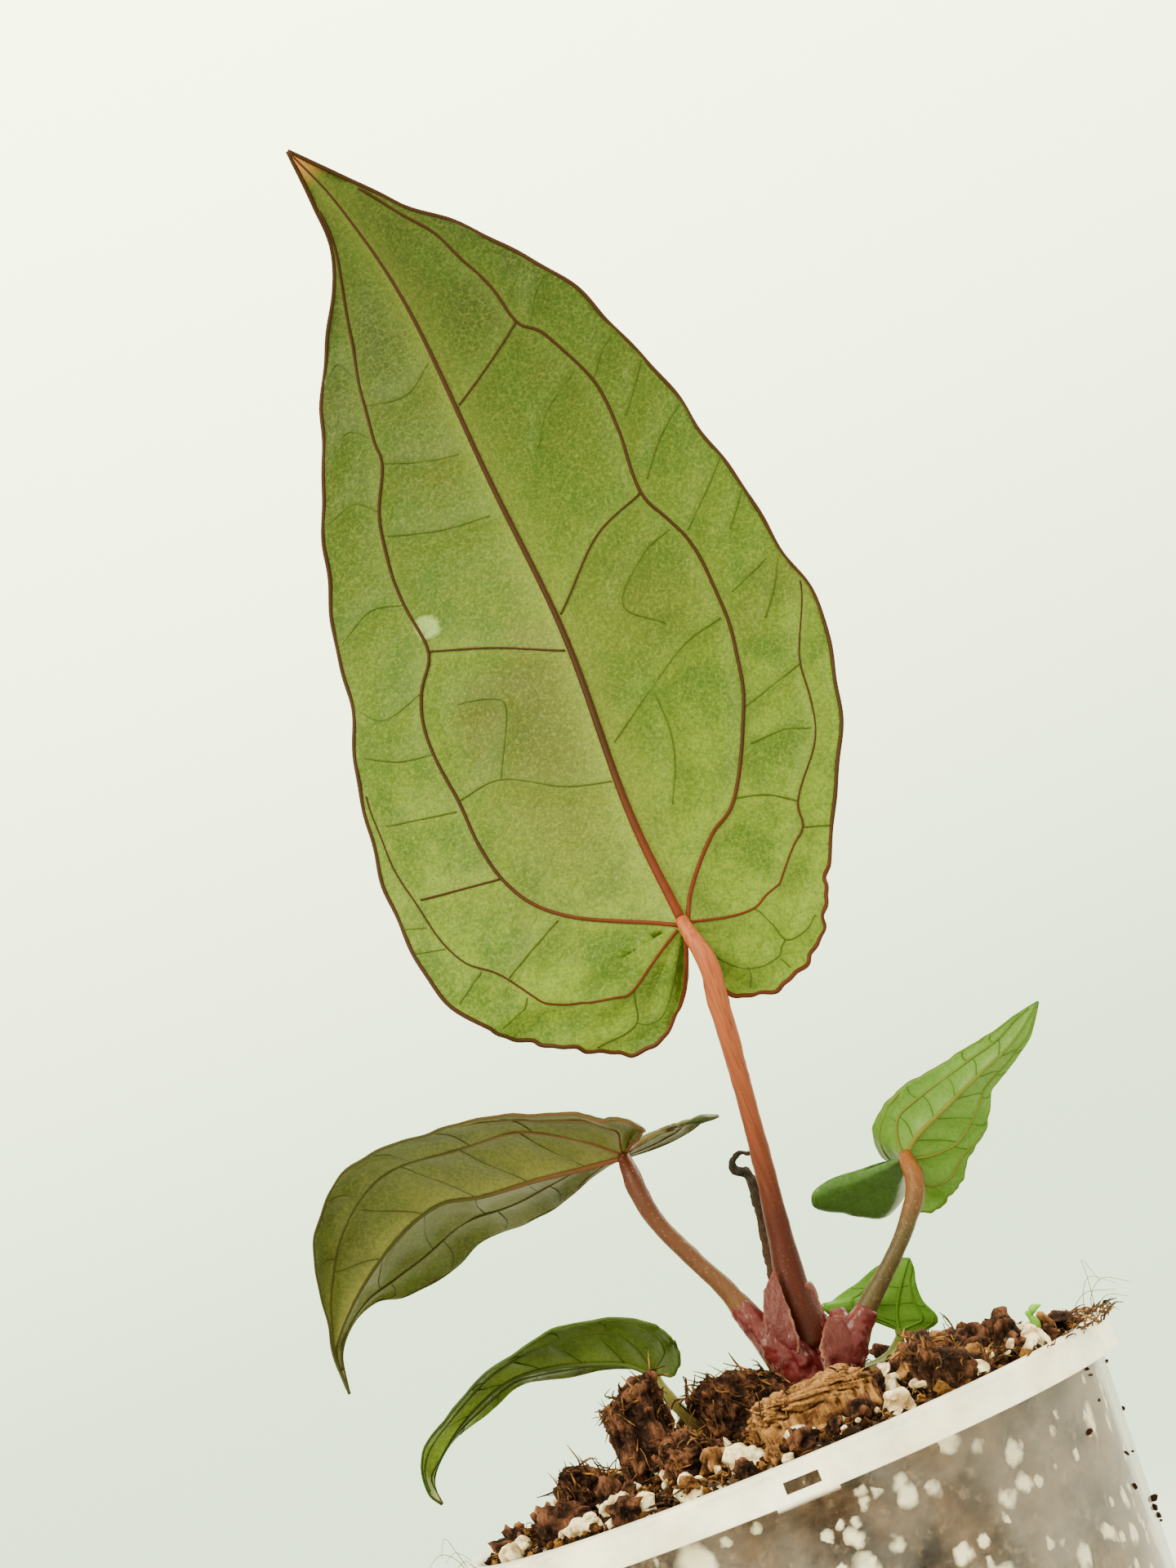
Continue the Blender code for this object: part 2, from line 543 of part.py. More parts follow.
def build_plant():
    """Crown, leaves, bracts, old stalk and roots. Returns the cutters for what is in the mix."""
    seats = []
    make_object("crown", turned(crown_profile(0.0), 16, (CROWN_X, 0.0)), "crown")
    seats.append(make_object("crown_seat", turned(crown_profile(GAP), 16, (CROWN_X, 0.0)), "crown"))
    for name, leaf in LEAVES.items():
        blade(name + "_blade", leaf["midrib"], leaf["left"], leaf["right"], "leaf", BLADE_THICKNESS)
        stem = above_rim(leaf["petiole"])
        tube(name + "_petiole", stem, leaf["radii"], "petiole")
        room = min(z - mound(x, y) for x, y, z in stem) - max(leaf["radii"])
        if room < 2 * MIX_ROUGHNESS + GAP:
            seats.append(tube(name + "_seat", stem, leaf["radii"], "petiole", grow=GAP))
    for name, bract in SHEATHS.items():
        midrib, left, right = (round_crown(bract[line]) for line in ("midrib", "left", "right"))
        blade(
            name, midrib, left, right, "crown", SHEATH_THICKNESS, stations=8, across=2, camber=0.0
        )
    tube("old_stalk", above_rim(round_crown(STALK)), STALK_RADII, "withered", count=18)
    foot = POT_HEIGHT + CROWN_TOP - CROWN_LENGTH
    for number in range(1, ROOT_COUNT + 1):
        turn = 2 * math.pi * (number + 0.35) / ROOT_COUNT
        out = Vector((math.cos(turn), math.sin(turn), 0.0))
        sway = out.cross(Vector((0.0, 0.0, 1.0))) * (2.5 if number % 2 else -2.5)
        start = Vector((CROWN_X, 0.0, foot + 4.0)) + out * (CROWN_RADIUS * 0.7 + ROOT_RADIUS)
        root = [
            start,
            start + out * ROOT_SPREAD * 0.3 + Vector((0.0, 0.0, -5.0)),
            start + out * ROOT_SPREAD * 0.65 + sway + Vector((0.0, 0.0, -ROOT_DROP * 0.45)),
            start + out * ROOT_SPREAD * 0.8 - sway + Vector((0.0, 0.0, -ROOT_DROP)),
        ]
        radii = (ROOT_RADIUS, ROOT_RADIUS, ROOT_RADIUS * 0.8, ROOT_RADIUS * 0.5)
        tube(f"root_{number}", root, radii, "root", 12, 6)
        seats.append(tube(f"root_{number}_seat", root, radii, "root", 12, 6, GAP))
    tube("seedling", above_rim(SHOOT), SHOOT_RADII, "shoot", 6, 6)
    seats.append(tube("seedling_seat", above_rim(SHOOT), SHOOT_RADII, "shoot", 6, 6, GAP))
    return seats


def build_chunks():
    """Coir husk, bark and perlite on top of the mix. Returns the cutters for their seats."""
    seats = []
    for name, (place, size, turn, paint, sink) in CHUNKS.items():
        seats.append(build_lump(name, place, size, turn, paint, sink))
    for number, (x, y, width) in enumerate(GRAINS, 1):
        size = (width, width * 0.85, width * 0.8)
        name = f"perlite_{number}"
        seats.append(build_lump(name, (x, y), size, 40 * number, "perlite", GRAIN_SINK, 0.3))
    return seats


build_pot()
build_mix(build_plant() + build_chunks())
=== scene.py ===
import json
import math

import bpy
import numpy as np
from mathutils import Matrix, Vector, noise

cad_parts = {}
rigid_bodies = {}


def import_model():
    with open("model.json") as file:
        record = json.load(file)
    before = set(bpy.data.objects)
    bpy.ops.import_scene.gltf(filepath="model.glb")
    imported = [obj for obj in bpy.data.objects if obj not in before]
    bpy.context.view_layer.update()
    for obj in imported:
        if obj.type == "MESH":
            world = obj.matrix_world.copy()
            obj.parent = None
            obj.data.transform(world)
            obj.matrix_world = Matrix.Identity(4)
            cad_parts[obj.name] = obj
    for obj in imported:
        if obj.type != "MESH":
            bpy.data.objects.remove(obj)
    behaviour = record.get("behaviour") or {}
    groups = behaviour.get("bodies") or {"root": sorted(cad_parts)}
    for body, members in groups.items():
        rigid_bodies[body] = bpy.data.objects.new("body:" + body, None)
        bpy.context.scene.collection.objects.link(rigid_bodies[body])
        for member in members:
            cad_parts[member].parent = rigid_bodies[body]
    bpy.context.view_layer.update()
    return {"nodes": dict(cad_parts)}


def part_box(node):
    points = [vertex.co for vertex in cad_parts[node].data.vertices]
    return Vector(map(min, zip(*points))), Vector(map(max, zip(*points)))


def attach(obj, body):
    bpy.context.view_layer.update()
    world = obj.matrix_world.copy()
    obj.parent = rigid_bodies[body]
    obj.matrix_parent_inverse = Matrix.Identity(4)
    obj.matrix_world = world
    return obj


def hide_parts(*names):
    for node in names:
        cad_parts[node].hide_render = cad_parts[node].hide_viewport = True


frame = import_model()

mm = 0.001
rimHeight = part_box("pot")[1][2] / mm
rimRadius = (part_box("pot")[1][0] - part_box("pot")[0][0]) / mm / 2


# Tools for shaping
def deselectAll():
    if bpy.context.mode != "OBJECT":
        bpy.ops.object.mode_set(mode="OBJECT")
    bpy.ops.object.select_all(action="DESELECT")


def pick(*things):
    deselectAll()
    for thing in things:
        thing.select_set(True)
    bpy.context.view_layer.objects.active = things[0]


def getPoints(thing):
    flat = np.empty(len(thing.data.vertices) * 3)
    thing.data.vertices.foreach_get("co", flat)
    return flat.reshape(-1, 3) / mm


def setPoints(thing, points):
    thing.data.vertices.foreach_set("co", (points * mm).ravel())
    thing.data.update()


def getNormals(thing):
    flat = np.empty(len(thing.data.vertices) * 3)
    thing.data.vertices.foreach_get("normal", flat)
    return flat.reshape(-1, 3)


def setValue(thing, name, values):
    layer = thing.data.attributes.get(name) or thing.data.attributes.new(name, "FLOAT", "POINT")
    layer.data.foreach_set("value", np.broadcast_to(values, len(thing.data.vertices)).astype(np.float32))


def editWhole(thing, *actions):
    # Runs each (operator, settings) in Edit Mode with the whole mesh selected
    pick(thing)
    bpy.ops.object.mode_set(mode="EDIT")
    bpy.ops.mesh.select_all(action="SELECT")
    for action, settings in actions:
        action(**settings)
    bpy.ops.object.mode_set(mode="OBJECT")


def mergeDoubles(thing, distance=0.01):
    editWhole(thing, (bpy.ops.mesh.remove_doubles, {"threshold": distance * mm}),
              (bpy.ops.mesh.normals_make_consistent, {"inside": False}))


def closeHoles(thing):
    editWhole(thing, (bpy.ops.mesh.select_all, {"action": "DESELECT"}),
              (bpy.ops.mesh.select_mode, {"type": "EDGE"}), (bpy.ops.mesh.select_non_manifold, {}),
              (bpy.ops.mesh.edge_face_add, {}))


def gridHalf(rows, columns):
    # A flat grid, with each point's share along it from -1 to 1 and across it from 0 to 1
    deselectAll()
    bpy.ops.mesh.primitive_grid_add(x_subdivisions=rows, y_subdivisions=columns, size=2 * mm)
    half = bpy.context.object
    flat = getPoints(half)
    return half, flat[:, 0], (flat[:, 1] + 1) / 2


def joined(name, things):
    pick(*things)
    if len(things) > 1:
        bpy.ops.object.join()
    things[0].name = name
    return things[0]


def applyAll(thing):
    pick(thing)
    for modifier in list(thing.modifiers):
        bpy.ops.object.modifier_apply(modifier=modifier.name)


def handIn(piece, slotName, materials, *nodes):
    piece.data.materials.clear()
    for material in materials:
        piece.data.materials.append(material)
    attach(piece, "root")
    if nodes:
        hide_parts(*nodes)
    print("made", piece.name, len(piece.data.polygons), "faces")


def aboveRim(points):
    return np.array(points, float) + (0.0, 0.0, rimHeight)


def smoothCurve(points, count):
    given = np.array(points, float)
    ends = np.vstack([2 * given[0] - given[1], given, 2 * given[-1] - given[-2]])
    place = np.linspace(0, len(given) - 1, 40 * len(given))
    first = np.minimum(place.astype(int), len(given) - 2)
    part = (place - first)[:, None]
    a, b, c, d = (ends[first + k] for k in range(4))
    bend = (2 * a - 5 * b + 4 * c - d) * part**2 + (3 * b - a - 3 * c + d) * part**3
    dense = 0.5 * (2 * b + (c - a) * part + bend)
    run = np.concatenate([[0], np.cumsum(np.linalg.norm(np.diff(dense, axis=0), axis=1))])
    wanted = np.linspace(0, run[-1], count)
    return np.stack([np.interp(wanted, run, dense[:, k]) for k in range(given.shape[1])], axis=1)


def spread(values, count):
    return np.interp(np.linspace(0, 1, count), np.linspace(0, 1, len(values)), values)


def readAt(rows, place):
    return np.stack([np.interp(place, np.arange(len(rows)), rows[:, k]) for k in range(3)], axis=-1)


def strands(name, routes, roundness=1):
    # One bevelled curve, with a radius in mm at each point, turned into a mesh
    deselectAll()
    bpy.ops.curve.primitive_bezier_curve_add()
    curve = bpy.context.object
    curve.name = name
    curve.data.splines.clear()
    curve.data.bevel_depth = mm
    curve.data.bevel_resolution = roundness
    curve.data.use_fill_caps = True
    for points, radii in routes:
        spline = curve.data.splines.new("POLY")
        spline.points.add(len(points) - 1)
        spline.points.foreach_set("co", np.column_stack([points * mm, np.ones(len(points))]).ravel())
        spline.points.foreach_set("radius", np.array(radii, float))
    bpy.ops.object.convert(target="MESH")
    made = bpy.context.object
    mergeDoubles(made, 0.001)
    pick(made)
    bpy.ops.object.shade_smooth()
    return made


def turned(name, profile, segments):
    # A ring that is extruded and resized along a profile of (radius, height)
    deselectAll()
    radius, height = profile[0]
    bpy.ops.mesh.primitive_circle_add(vertices=segments, radius=radius * mm, location=(0, 0, height * mm))
    made = bpy.context.object
    made.name = name
    bpy.ops.object.transform_apply(location=True)
    bpy.ops.object.mode_set(mode="EDIT")
    bpy.ops.mesh.select_all(action="SELECT")
    for newRadius, newHeight in profile[1:]:
        rise = (0, 0, (newHeight - height) * mm)
        bpy.ops.mesh.extrude_edges_move(TRANSFORM_OT_translate={"value": rise})
        scale = newRadius / radius
        bpy.ops.transform.resize(value=(scale, scale, 1), center_override=(0, 0, newHeight * mm))
        radius, height = max(newRadius, 1e-6), newHeight
    bpy.ops.object.mode_set(mode="OBJECT")
    return made


def distances(points, targets):
    nearest = np.full(len(points), 1e9)
    for start in range(0, len(targets), 200):
        gap = points[:, None, :] - targets[None, start:start + 200, :]
        nearest = np.minimum(nearest, np.sqrt((gap**2).sum(axis=2)).min(axis=1))
    return nearest


def roughness3d(points, size, seed, octaves=3):
    # Noise from -1 to 1 at each point, with features of about this size in mm
    shift = Vector((seed * 3.7, seed * 1.3, -seed * 2.1))
    return np.array([noise.fractal(Vector(point) / size + shift, 0.8, 2.0, octaves) for point in points])


# Tools for materials
def startMaterial(name, **sockets):
    material = bpy.data.materials.new(name)
    material.use_nodes = True
    shader = material.node_tree.nodes["Principled BSDF"]
    for socket, value in sockets.items():
        shader.inputs[socket.replace("_", " ")].default_value = value
    return material, material.node_tree


def put(tree, kind, inputs, **settings):
    made = tree.nodes.new("ShaderNode" + kind)
    for setting, value in settings.items():
        setattr(made, setting, value)
    for socket, value in inputs.items():
        if isinstance(value, bpy.types.NodeSocket):
            tree.links.new(value, made.inputs[socket])
        else:
            made.inputs[socket].default_value = value
    return made


def mixColour(tree, factor, first, second, way="MIX"):
    first = (*first, 1) if isinstance(first, tuple) else first
    second = (*second, 1) if isinstance(second, tuple) else second
    made = put(tree, "Mix", {0: factor, 6: first, 7: second}, data_type="RGBA", blend_type=way)
    return made.outputs[2]


def calc(tree, way, first, second=0.0, clamp=False):
    return put(tree, "Math", {0: first, 1: second}, operation=way, use_clamp=clamp).outputs[0]


def times(tree, first, second, clamp=False):
    return calc(tree, "MULTIPLY", first, second, clamp)


def plus(tree, first, second, clamp=False):
    return calc(tree, "ADD", first, second, clamp)


def readValue(tree, name):
    return put(tree, "Attribute", {}, attribute_name=name).outputs["Fac"]


def steps(tree, factor, stops):
    ramp = put(tree, "ValToRGB", {"Fac": factor})
    elements = ramp.color_ramp.elements
    while len(elements) < len(stops):
        elements.new(0.5)
    for element, (place, colour) in zip(elements, stops):
        element.position = place
        element.color = (*colour, 1) if isinstance(colour, tuple) else (colour, colour, colour, 1)
    return ramp.outputs["Color"]


def objectPlace(tree, scale=(1, 1, 1), location=(0, 0, 0)):
    place = put(tree, "TexCoord", {}).outputs["Object"]
    return put(tree, "Mapping", {"Vector": place, "Scale": scale, "Location": location}).outputs[0]


def heightShare(tree, low, high):
    # From 0 to 1 between two heights above the rim
    height = put(tree, "SeparateXYZ", {"Vector": objectPlace(tree)}).outputs["Z"]
    return calc(tree, "DIVIDE", calc(tree, "SUBTRACT", height, (rimHeight + low) * mm), (high - low) * mm,
                clamp=True)


def noiseAt(tree, place, size, detail=3.0, rough=0.55):
    made = put(tree, "TexNoise", {"Vector": place, "Scale": 1 / (size * mm)})
    made.inputs["Detail"].default_value = detail
    made.inputs["Roughness"].default_value = rough
    return made.outputs["Fac"]


def finished(material, colour, height=None, distance=0.1, strength=1.0, **sockets):
    # Joins a colour, a bump of this distance in mm and any other sockets to the material's shader
    tree = material.node_tree
    shader = tree.nodes["Principled BSDF"]
    for socket, value in {"Base Color": colour, **sockets}.items():
        tree.links.new(value, shader.inputs[socket])
    if height is not None:
        bump = put(tree, "Bump", {"Height": height, "Distance": distance * mm, "Strength": strength})
        tree.links.new(bump.outputs["Normal"], shader.inputs["Normal"])
    return material


def startGroup(name, inputs, outputs):
    group = bpy.data.node_groups.new(name, "ShaderNodeTree")
    for socket, value in inputs.items():
        made = group.interface.new_socket(name=socket, in_out="INPUT", socket_type="NodeSocketFloat")
        made.default_value = value
    for socket in outputs:
        group.interface.new_socket(name=socket, in_out="OUTPUT", socket_type="NodeSocketFloat")
    return group, group.nodes.new("NodeGroupInput").outputs, group.nodes.new("NodeGroupOutput").inputs


def useGroup(tree, group, **values):
    made = tree.nodes.new("ShaderNodeGroup")
    made.node_tree = group
    for socket, value in values.items():
        if isinstance(value, bpy.types.NodeSocket):
            tree.links.new(value, made.inputs[socket])
        else:
            made.inputs[socket].default_value = value
    return made.outputs


def makeSpeckle():
    # Small round spots scattered over a surface
    group, given, wanted = startGroup("speckle", {"Size": 1.5, "Share": 0.2, "Seed": 0.0}, ["Mask"])
    place = put(group, "TexCoord", {}).outputs["Object"]
    scale = calc(group, "DIVIDE", 1000.0, given["Size"])
    moved = put(group, "VectorMath", {0: place, 1: given["Seed"]}, operation="ADD").outputs[0]
    wobble = put(group, "TexNoise",
                 {"Vector": moved, "Scale": times(group, scale, 1.6)}).outputs["Color"]
    reach = times(group, given["Size"], 0.0007)
    shift = put(group, "VectorMath", {0: wobble, 1: reach, 2: moved}, operation="MULTIPLY_ADD")
    cells = put(group, "TexVoronoi", {"Vector": shift.outputs[0], "Scale": scale})
    chance = put(group, "SeparateColor", {"Color": cells.outputs["Color"]}).outputs[0]
    chosen = calc(group, "LESS_THAN", chance, given["Share"])
    inside = calc(group, "SUBTRACT", 1.0, times(group, cells.outputs["Distance"], 2.0), clamp=True)
    group.links.new(times(group, inside, chosen, clamp=True), wanted["Mask"])
    return group


def makeNetwork():
    # The fine mesh of smallest veins, as lines between cells
    group, given, wanted = startGroup("vein_network", {"Size": 3.0, "Width": 0.12}, ["Line", "Cell"])
    place = put(group, "TexCoord", {}).outputs["Object"]
    scale = calc(group, "DIVIDE", 1000.0, given["Size"])
    wobble = put(group, "TexNoise", {"Vector": place, "Scale": scale})
    shift = put(group, "VectorMath", {0: wobble.outputs["Color"], 2: place},
                operation="MULTIPLY_ADD")
    shift.inputs[1].default_value = (0.0012, 0.0012, 0.0012)
    cells = put(group, "TexVoronoi", {"Vector": shift.outputs[0], "Scale": scale},
                feature="DISTANCE_TO_EDGE")
    near = calc(group, "DIVIDE", cells.outputs["Distance"], given["Width"], clamp=True)
    group.links.new(calc(group, "SUBTRACT", 1.0, near), wanted["Line"])
    group.links.new(near, wanted["Cell"])
    return group


def makeFibres():
    # Streaks that run along one axis, for husk, bark and stems
    group, given, wanted = startGroup("fibres", {"Across": 0.5, "Along": 6.0, "Seed": 0.0}, ["Streak"])
    place = put(group, "TexCoord", {}).outputs["Object"]
    thin = calc(group, "DIVIDE", 1000.0, given["Across"])
    long = calc(group, "DIVIDE", 1000.0, given["Along"])
    scale = put(group, "CombineXYZ", {"X": thin, "Y": thin, "Z": long}).outputs[0]
    stretched = put(group, "VectorMath", {0: place, 1: scale}, operation="MULTIPLY").outputs[0]
    made = put(group, "TexNoise", {"Vector": stretched, "W": given["Seed"], "Scale": 1.0},
               noise_dimensions="4D")
    made.inputs["Detail"].default_value = 4.0
    group.links.new(made.outputs["Fac"], wanted["Streak"])
    return group


speckle = makeSpeckle()
network = makeNetwork()
fibres = makeFibres()
print("material tools ready")


# Leaves, as points in mm from the middle of the pot and above its rim
leafPlans = {
    "leaf_1": {
        "midrib": [(13.5, 0, 67), (12.5, 2, 85), (13.5, 3, 111.5), (12, 2, 136.5), (10.5, -2, 163.5),
                   (7, -6, 180), (3, -10, 189.5)],
        "left": [(13.5, 0, 67), (12.5, 1.5, 63.5), (9.5, 4.5, 58), (3, 5.5, 53.5), (-5, 5, 56.5),
                 (-16.5, 4, 64), (-22, 4.5, 74.5), (-23, 6, 87), (-22, 7.5, 100.5), (-18.5, 8, 115.5),
                 (-16, 7.5, 130.5), (-9, 5.5, 151), (-3, 3, 165), (3, -1, 174.5), (3.5, -6, 182),
                 (3, -10, 189.5)],
        "right": [(13.5, 0, 67), (15, 1, 61.5), (15, 2, 57), (18, 3, 55), (23, 3.5, 54.5), (30, 4, 58.5),
                  (35.5, 5.5, 68.5), (44, 7, 84.5), (48.5, 8, 100.5), (47, 8, 113), (44, 7, 129),
                  (40, 5, 144.5), (33.5, 2, 159.5), (24.5, 0, 171), (13.5, -4, 180.5), (3, -10, 189.5)],
        "rows": 190, "columns": 44, "camber": 0.8, "pucker": 0.55, "ripple": 0.35, "wave": 0.5,
        "thickness": 0.45,
        "ribRadii": (0.95, 0.7, 0.58, 0.5, 0.36, 0.18), "edgeRadius": 0.34,
    },
    "leaf_2": {
        "midrib": [(-5.5, 0, 41), (-12, 4, 42), (-18, 7, 43), (-26, 12, 44), (-33, 16, 45.5),
                   (-40.5, 19, 43.5), (-48, 21, 39), (-53.5, 22, 34), (-55, 22, 31), (-54.5, 20, 26)],
        "left": [(-5.5, 0, 41), (-1.5, 5, 42.5), (3.5, 9, 42.5), (8, 12, 42), (4.5, 14, 42), (-2, 16, 41.5),
                 (-9, 18, 41.5), (-14.5, 21, 40.5), (-23, 26, 39), (-30.5, 29, 39), (-37.5, 31, 37),
                 (-44, 30, 36), (-48, 27, 36.5), (-51.5, 24.5, 35), (-54, 22.5, 31.5), (-54.5, 20, 26)],
        "right": [(-5.5, 0, 41), (-3.5, -4, 42), (-1.5, -9, 42.5), (-3, -11, 44), (-8, -8, 47),
                  (-13.5, -4.5, 50), (-20, -1, 52.5), (-27.5, 3, 53.5), (-36, 7, 55), (-42.5, 10, 54),
                  (-48, 13, 50.5), (-51.5, 15.5, 46), (-53, 18, 41.5), (-54, 20.5, 36), (-55, 21.5, 32),
                  (-54.5, 20, 26)],
        "rows": 130, "columns": 32, "camber": 1.2, "pucker": 0.5, "ripple": 0.2, "wave": 0.4,
        "thickness": 0.4,
        "ribRadii": (0.5, 0.42, 0.35, 0.25, 0.12), "edgeRadius": 0.2,
    },
    "leaf_3": {
        "midrib": [(-12, -4, 13.5), (-15, -3, 16), (-20, -1, 18), (-26, 1, 19.5), (-32, 3, 19.5),
                   (-38.5, 4, 17), (-43.5, 5, 13.5), (-45.5, 5, 11.5), (-45, 4, 8)],
        "left": [(-12, -4, 13.5), (-11.5, -1, 13), (-12, 0.5, 13.5), (-15, 2, 15), (-19.5, 4, 16.5),
                 (-25, 6, 17.5), (-30.5, 7, 18.3), (-36.5, 8, 16.5), (-41, 8, 15), (-44, 7, 13),
                 (-45.5, 6, 10.5), (-45, 4, 8)],
        "right": [(-12, -4, 13.5), (-9.5, -7, 12.5), (-8, -9, 14.5), (-8, -10.5, 17), (-10, -11, 19.5),
                  (-13.5, -10, 22), (-19.5, -8.5, 23), (-25.5, -6, 23), (-32, -3, 21.5), (-38, -1, 19),
                  (-43, 1, 16.5), (-45.5, 2.5, 13.5), (-46, 3.2, 10), (-45, 4, 8)],
        "rows": 100, "columns": 22, "camber": 0.8, "pucker": 0.3, "ripple": 0.15, "wave": 0.3,
        "thickness": 0.4,
        "ribRadii": (0.5, 0.4, 0.3, 0.12), "edgeRadius": 0.16,
    },
    "leaf_4": {
        "midrib": [(29, 0, 27), (31.5, -1, 29), (37.5, -2.5, 31.5), (42.5, -4, 33.5), (47.5, -5, 35.5),
                   (52.5, -6, 39)],
        "left": [(29, 0, 27), (26.5, 0.6, 27), (23, 0.3, 27.5), (18.5, -0.3, 28), (15.5, -0.5, 27),
                 (16, 2, 25), (19.5, 5, 23), (23.5, 8, 21), (27, 10, 22.5), (28, 9, 26.5), (26.5, 6.5, 28.5),
                 (26.5, 2.5, 31.5), (28.5, 0, 34), (32.5, -1.5, 35.5), (39, -3, 36.5), (45, -4.5, 37.5),
                 (49.5, -5.5, 38.5), (52.5, -6, 39)],
        "right": [(29, 0, 27), (28.5, 2, 24.5), (27.5, 3, 21), (28.5, 3, 19.5), (31, 3, 19.5), (34, 2.5, 21),
                  (37, 1.5, 24), (39.5, 0.5, 26), (41.5, -1, 28.5), (43, -1.5, 31), (46.5, -3, 33),
                  (49.5, -4.5, 35), (51.5, -5.5, 37.5), (52.5, -6, 39)],
        "rows": 110, "columns": 24, "camber": 0.5, "pucker": 0.3, "ripple": 0.15, "wave": 0.2,
        "thickness": 0.4,
        "ribRadii": (0.5, 0.4, 0.3, 0.12), "edgeRadius": 0.16,
    },
    "leaf_5": {
        "midrib": [(20, 19, 6), (21, 18, 9), (23, 16, 12), (25, 14, 14.5)],
        "left": [(20, 19, 6), (16.5, 17.5, 9), (12.5, 15, 11), (11.5, 14, 13), (13, 16, 13), (15.3, 17, 13.6),
                 (17.5, 17, 14), (20.5, 16, 15), (23.5, 15, 15), (25, 14, 14.5)],
        "right": [(20, 19, 6), (21.5, 19.5, 4.8), (24.5, 18.5, 4.8), (25.5, 17, 5.8), (24.5, 16.5, 8.5),
                  (24.5, 15.5, 11), (25, 14.5, 13), (25, 14, 14.5)],
        "rows": 60, "columns": 16, "camber": 0.3, "pucker": 0.2, "ripple": 0.05, "wave": 0.1,
        "thickness": 0.35,
        "ribRadii": (0.35, 0.3, 0.2, 0.1), "edgeRadius": 0.12,
    },
}

